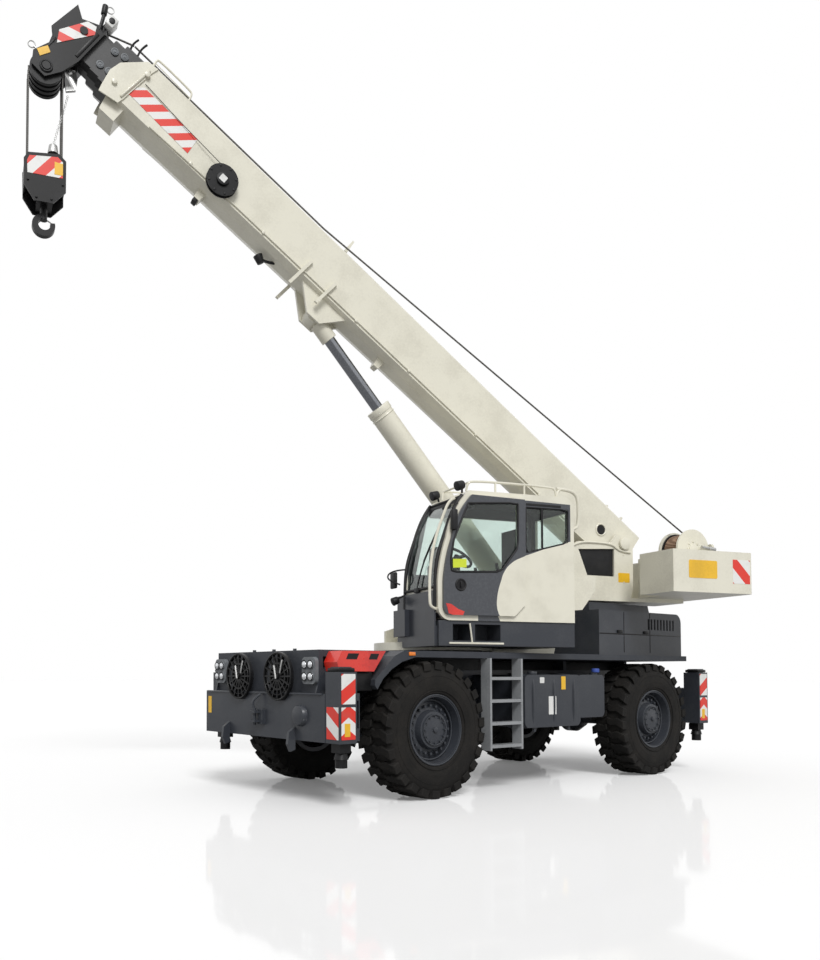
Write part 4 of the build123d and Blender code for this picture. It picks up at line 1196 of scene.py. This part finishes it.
front = {
    "floatY": 0.395,
    "floatZ": 1.325,
    "floatFace": 3.480,
    "ribs": 16,
    "lampY": 0.89,
    "lampZ": 1.385,
    "lampFace": 3.442,
    "lampOff": ((-0.052, 0.062), (0.052, 0.062), (-0.052, -0.062), (0.052, -0.062)),
    "cheek": ((2.99, 1.15), (3.30, 1.15), (3.42, 1.05), (3.42, 1.15), (3.36, 1.36), (3.30, 1.42), (2.99, 1.42)),
    "cheekY": 1.005,
    "mesh": (((3.20, 1.50), (3.17, 1.56), (3.03, 1.56), (3.06, 1.50)),
             ((2.90, 1.50), (2.87, 1.56), (2.76, 1.56), (2.79, 1.50))),
}


def makeFloatTrim():
    # grilles and clips of the two stowed floats
    x, z = front["floatFace"], front["floatZ"]
    grilles = []
    clips = []
    for y in (-front["floatY"], front["floatY"]):
        grilles.append(addRing(carrierFrame, (x, y, z), (1, 0, 0), 0.252, 0.009, segments=64, sides=8))
        for number in range(front["ribs"]):
            turn = math.radians(360 / front["ribs"] * number + 11)
            a = (x - 0.006, y + 0.055 * math.cos(turn), z + 0.055 * math.sin(turn))
            b = (x - 0.006, y + 0.245 * math.cos(turn + 0.2), z + 0.245 * math.sin(turn + 0.2))
            grilles.append(addRod(carrierFrame, a, b, 0.005, vertices=8))
        grilles.append(addRing(carrierFrame, (x - 0.004, y, z), (1, 0, 0), 0.20, 0.005, segments=48, sides=6))
        grilles.append(addRod(carrierFrame, (x - 0.01, y, z), (x + 0.02, y, z), 0.035, vertices=20, bevel=0.006))
        clips.append(addTube(carrierFrame, ((x + 0.02, y - 0.03, 1.44), (x + 0.03, y, 1.38),
                                            (x + 0.03, y + 0.02, 1.30)), 0.010))
        clips.append(addTube(carrierFrame, ((x, y + 0.10, 1.50), (x + 0.015, y + 0.09, 1.42),
                                            (x + 0.01, y + 0.07, 1.36)), 0.009))
    settle(grilles, "floatGrilles", "carrier", "black")
    settle(clips, "floatClips", "carrier", "steel")


def makeFrontLamps():
    lamps = []
    rings = []
    x = front["lampFace"]
    for side in (-1, 1):
        for dy, dz in front["lampOff"]:
            y, z = side * front["lampY"] + dy, front["lampZ"] + dz
            lamps.append(addRod(carrierFrame, (x - 0.004, y, z), (x + 0.006, y, z), 0.040, vertices=28, tip=0.034,
                                bevel=0.003))
            rings.append(addRing(carrierFrame, (x + 0.001, y, z), (1, 0, 0), 0.044, 0.005, segments=28, sides=6))
    settle(lamps, "lampLenses", "carrier", "lens")
    settle(rings, "lampBezels", "carrier", "plastic", "lamp_lens")


def makeFrontTrim():
    body = [addPlate(carrierFrame, front["cheek"], side * front["cheekY"], 0.02, bevel=0.004) for side in (-1, 1)]
    body += [addRod(carrierFrame, (3.32, y, 1.60), (3.32, y, 1.622), 0.02, vertices=12) for y in (-0.3, 0.1, 0.5)]
    body += [
        addBox(carrierFrame, (3.435, -1.15, 1.135), (3.455, 1.15, 1.155), 0.004),
        addRod(carrierFrame, (3.40, 0.78, 0.92), (3.49, 0.78, 0.92), 0.13, vertices=36, tip=0.10, bevel=0.01),
        addTube(carrierFrame, ((3.46, 0.05, 1.13), (3.52, 0.0, 1.08), (3.53, -0.02, 1.0), (3.50, 0.0, 0.95)), 0.014),
        addBox(carrierFrame, (2.0, -0.35, 0.95), (2.9, 0.35, 1.30), 0.03),
    ]
    settle(body, "frontTrim", "carrier", "grey")
    plate = addBox(carrierFrame, (3.440, -1.14, 0.885), (3.443, -1.07, 1.084), 0.0)
    settle(plate, "bumperYellowPlate", "carrier", "yellow", "grey_paint")
    cover = [addPlate(carrierFrame, outline, 1.2315, 0.003) for outline in front["mesh"]]
    settle(cover, "coverMesh", "carrier", "plastic", "red_paint")
    housing = addBox(carrierFrame, (2.80, 1.02, 1.17), (3.24, 1.18, 1.372), 0.02)
    settle(housing, "coverHousing", "carrier", "black")
    markers = [addBox(carrierFrame, (2.27, side * 1.248, 1.545), (2.36, side * 1.262, 1.585), 0.006)
               for side in (-1, 1)]
    settle(markers, "markerLamps", "carrier", "amber", "red_paint")


tank = {
    "straps": (-0.36, 0.02, 0.40),
    "strap": ((0.9, 1.345), (1.22, 1.345), (1.296, 1.30), (1.296, 0.75), (1.22, 0.703), (0.9, 0.703)),
    "face": 1.2925,
    "white": ((-0.02, 0.12, 0.86, 1.08, 0.008), (0.20, 0.28, 1.24, 1.31, 0.006)),
    "yellow": (-0.20, -0.12, 1.16, 1.32, 0.006),
    "blue": (0.05, 0.09, 0.35),
    "pipes": 5,
}


def makeTankTrim():
    parts = [addTube(carrierFrame, [(x, y, z) for y, z in tank["strap"]], 0.014, sides=2) for x in tank["straps"]]
    parts.append(addRod(carrierFrame, (-0.95, 1.15, 1.34), (-0.95, 1.15, 1.37), 0.05, vertices=20))
    parts.append(addRod(carrierFrame, (0.25, 1.15, 1.34), (0.25, 1.15, 1.38), 0.06, bevel=0.006))
    for x in (-0.30, 0.34):
        parts.append(addRod(carrierFrame, (x, 1.25, 0.66), (x, 1.25, 0.71), 0.02, vertices=12))
    settle(parts, "tankStraps", "carrier", "grey")
    cap = addRod(carrierFrame, (-0.95, 1.18, 1.37), (-0.95, 1.18, 1.42), 0.05, vertices=20, bevel=0.008)
    settle(cap, "tankCap", "carrier", makePlastic("blueCap", tank["blue"]), "grey_paint")
    plates = [addPlate(carrierFrame, roundOutline(*size, 2), tank["face"], 0.003) for size in tank["white"]]
    settle(plates, "tankWhitePlates", "carrier", "white", "grey_paint")
    yellow = addPlate(carrierFrame, roundOutline(*tank["yellow"], 2), tank["face"], 0.003)
    settle(yellow, "tankYellowPlate", "carrier", "yellow", "grey_paint")


def makeHoses():
    # hoses along the chassis, and a black block inside it as painted shade, closing the view through it
    pipes = []
    for number in range(tank["pipes"]):
        z = 0.98 + 0.07 * number
        behind = ((-1.10, 0.46 + 0.01 * number, z), (-1.25, 0.48, z), (-1.45, 0.43, z + 0.05), (-1.9, 0.40, z))
        before = ((0.62, 0.45 + 0.02 * number, z), (1.1, 0.48, z - 0.02), (1.55, 0.45, z + 0.02), (2.0, 0.40, z))
        pipes += [addTube(carrierFrame, points, 0.016, sides=2) for points in (behind, before)]
    for side in (-1, 1):
        points = ((1.75, side * 0.40, 0.78), (1.0, side * 0.46, 0.80), (-1.75, side * 0.40, 0.78))
        pipes.append(addTube(carrierFrame, points, 0.022, sides=2))
    settle(pipes, "carrierHoses", "carrier", "plastic")
    # a black block standing in for the shade inside the chassis
    shadeBlock = addBox(carrierFrame, (-2.9, -0.262, 1.0), (2.36, 0.262, 1.52), 0.01)
    settle(shadeBlock, "chassisShadeBlock", "carrier", "plastic")


hood = {
    "slots": 9,
    "slotX": -2.88,
    "slotPitch": 0.075,
    "seams": (-1.70, -2.30),
    "bars": 12,
    "barY": -0.85,
    "barPitch": 0.15,
}


def makeHoodTrim():
    # black sheets in the slots as painted shade, seams on both sides, the lid on top and the bars at the back
    boxes = [((-2.45, -0.30, 2.305), (-2.15, 0.30, 2.34), 0.01)]
    for side in (-1, 1):
        near, far = side * 1.098, side * 1.104
        # a black sheet inside each slot, painted shade in the recess
        for number in range(hood["slots"]):
            x = hood["slotX"] + hood["slotPitch"] * number
            boxes.append(((x + 0.001, side * 1.0875, 1.962), (x + 0.034, side * 1.0905, 2.108), 0.0))
        boxes.append(((-3.04, near, 1.88), (-1.16, far, 1.895), 0.002))
        for x in hood["seams"]:
            boxes.append(((x, near, 1.64), (x + 0.008, far, 2.19), 0.001))
            boxes.append(((x + 0.05, side * 1.10, 1.90), (x + 0.16, side * 1.118, 1.94), 0.005))
    for number in range(hood["bars"]):
        y = hood["barY"] + hood["barPitch"] * number
        boxes.append(((-3.068, y, 1.75), (-3.055, y + 0.09, 2.02), 0.003))
    settle([addBox(carrierFrame, low, high, bevel) for low, high, bevel in boxes], "hoodSlotShadeAndTrim", "carrier", "black")


makePlates()
makeFloatTrim()
makeFrontLamps()
makeFrontTrim()
makeTankTrim()
makeHoses()
makeHoodTrim()


print("stage")
stageSet = {
    "sun": 2.1,
    "sunTurn": (48, 0, 152),
    "sunSoft": 22,
    "sky": 0.53,
    "backdrop": 1.0,
    "floorSize": 400,
    "floorLit": (0.34, 0.34, 0.34, 1),
    "floorSeen": (0.93, 0.93, 0.93, 1),
    "mirror": 0.16,
    "mirrorRough": 0.06,
    "lift": 0.12,
    "white": (1, 1, 1, 1),
}


def makeFloor():
    # pale to the camera, darker to the light that bounces off it, and a little glossy
    clearSelection()
    bpy.ops.mesh.primitive_plane_add(size=stageSet["floorSize"], location=(0, 0, 0))
    floor = bpy.context.object
    floor.name = "floor"
    material = bpy.data.materials.new("paleFloor")
    material.use_nodes = True
    tree = material.node_tree
    tree.nodes.clear()
    seen = addNode(tree, "ShaderNodeLightPath").outputs["Is Camera Ray"]
    pale = addNode(tree, "ShaderNodeMix", {0: seen, 6: stageSet["floorLit"], 7: stageSet["floorSeen"]},
                   data_type="RGBA")
    plain = addNode(tree, "ShaderNodeBsdfDiffuse", {"Color": pale.outputs[2]})
    gloss = addNode(tree, "ShaderNodeBsdfGlossy", {"Roughness": stageSet["mirrorRough"]})
    mixed = addNode(tree, "ShaderNodeMixShader", {0: stageSet["mirror"], 1: plain.outputs[0], 2: gloss.outputs[0]})
    lift = addNode(tree, "ShaderNodeMath", {0: seen, 1: stageSet["lift"]}, operation="MULTIPLY")
    glow = addNode(tree, "ShaderNodeEmission", {"Color": stageSet["white"], "Strength": lift.outputs[0]})
    summed = addNode(tree, "ShaderNodeAddShader", {0: mixed.outputs[0], 1: glow.outputs[0]})
    addNode(tree, "ShaderNodeOutputMaterial", {0: summed.outputs[0]})
    floor.data.materials.append(material)


def makeSky():
    # a white backdrop where it is seen, mirrored or looked at through glass, and a dimmer sky as a lamp
    world = bpy.data.worlds.new("studio")
    bpy.context.scene.world = world
    world.use_nodes = True
    tree = world.node_tree
    dim = tree.nodes["Background"]
    dim.inputs["Color"].default_value = stageSet["white"]
    dim.inputs["Strength"].default_value = stageSet["sky"]
    bright = addNode(tree, "ShaderNodeBackground", {"Color": stageSet["white"], "Strength": stageSet["backdrop"]})
    path = addNode(tree, "ShaderNodeLightPath").outputs
    turned = addNode(tree, "ShaderNodeMath", {0: path["Is Glossy Ray"], 1: path["Is Transmission Ray"]},
                     operation="MAXIMUM")
    shown = addNode(tree, "ShaderNodeMath", {0: path["Is Camera Ray"], 1: turned.outputs[0]}, operation="MAXIMUM")
    mixed = addNode(tree, "ShaderNodeMixShader", {0: shown.outputs[0], 1: dim.outputs[0], 2: bright.outputs[0]})
    tree.links.new(mixed.outputs[0], tree.nodes["World Output"].inputs[0])


def makeSun():
    lamp = bpy.data.lights.new("sun", "SUN")
    lamp.energy = stageSet["sun"]
    lamp.angle = math.radians(stageSet["sunSoft"])
    sun = bpy.data.objects.new("sun", lamp)
    sun.rotation_euler = [math.radians(a) for a in stageSet["sunTurn"]]
    bpy.context.scene.collection.objects.link(sun)


def makeCamera():
    data = bpy.data.cameras.new("camera")
    data.sensor_fit = "AUTO"
    data.sensor_width = 36
    data.lens = view["focal"] / view["height"] * data.sensor_width
    data.shift_x = (view["width"] / 2 - view["centre"][0]) / view["height"]
    data.shift_y = (view["centre"][1] - view["height"] / 2) / view["height"]
    camera = bpy.data.objects.new("camera", data)
    bpy.context.scene.collection.objects.link(camera)
    x, y, z = view["place"]
    camera.location = (x - view["middle"][0], y - view["middle"][1], z)
    camera.rotation_euler = (math.radians(90 + view["rise"]), 0, math.radians(view["heading"] - 90))
    bpy.context.scene.camera = camera


makeFloor()
makeSky()
makeSun()
makeCamera()
bpy.context.scene.view_settings.view_transform = "Standard"
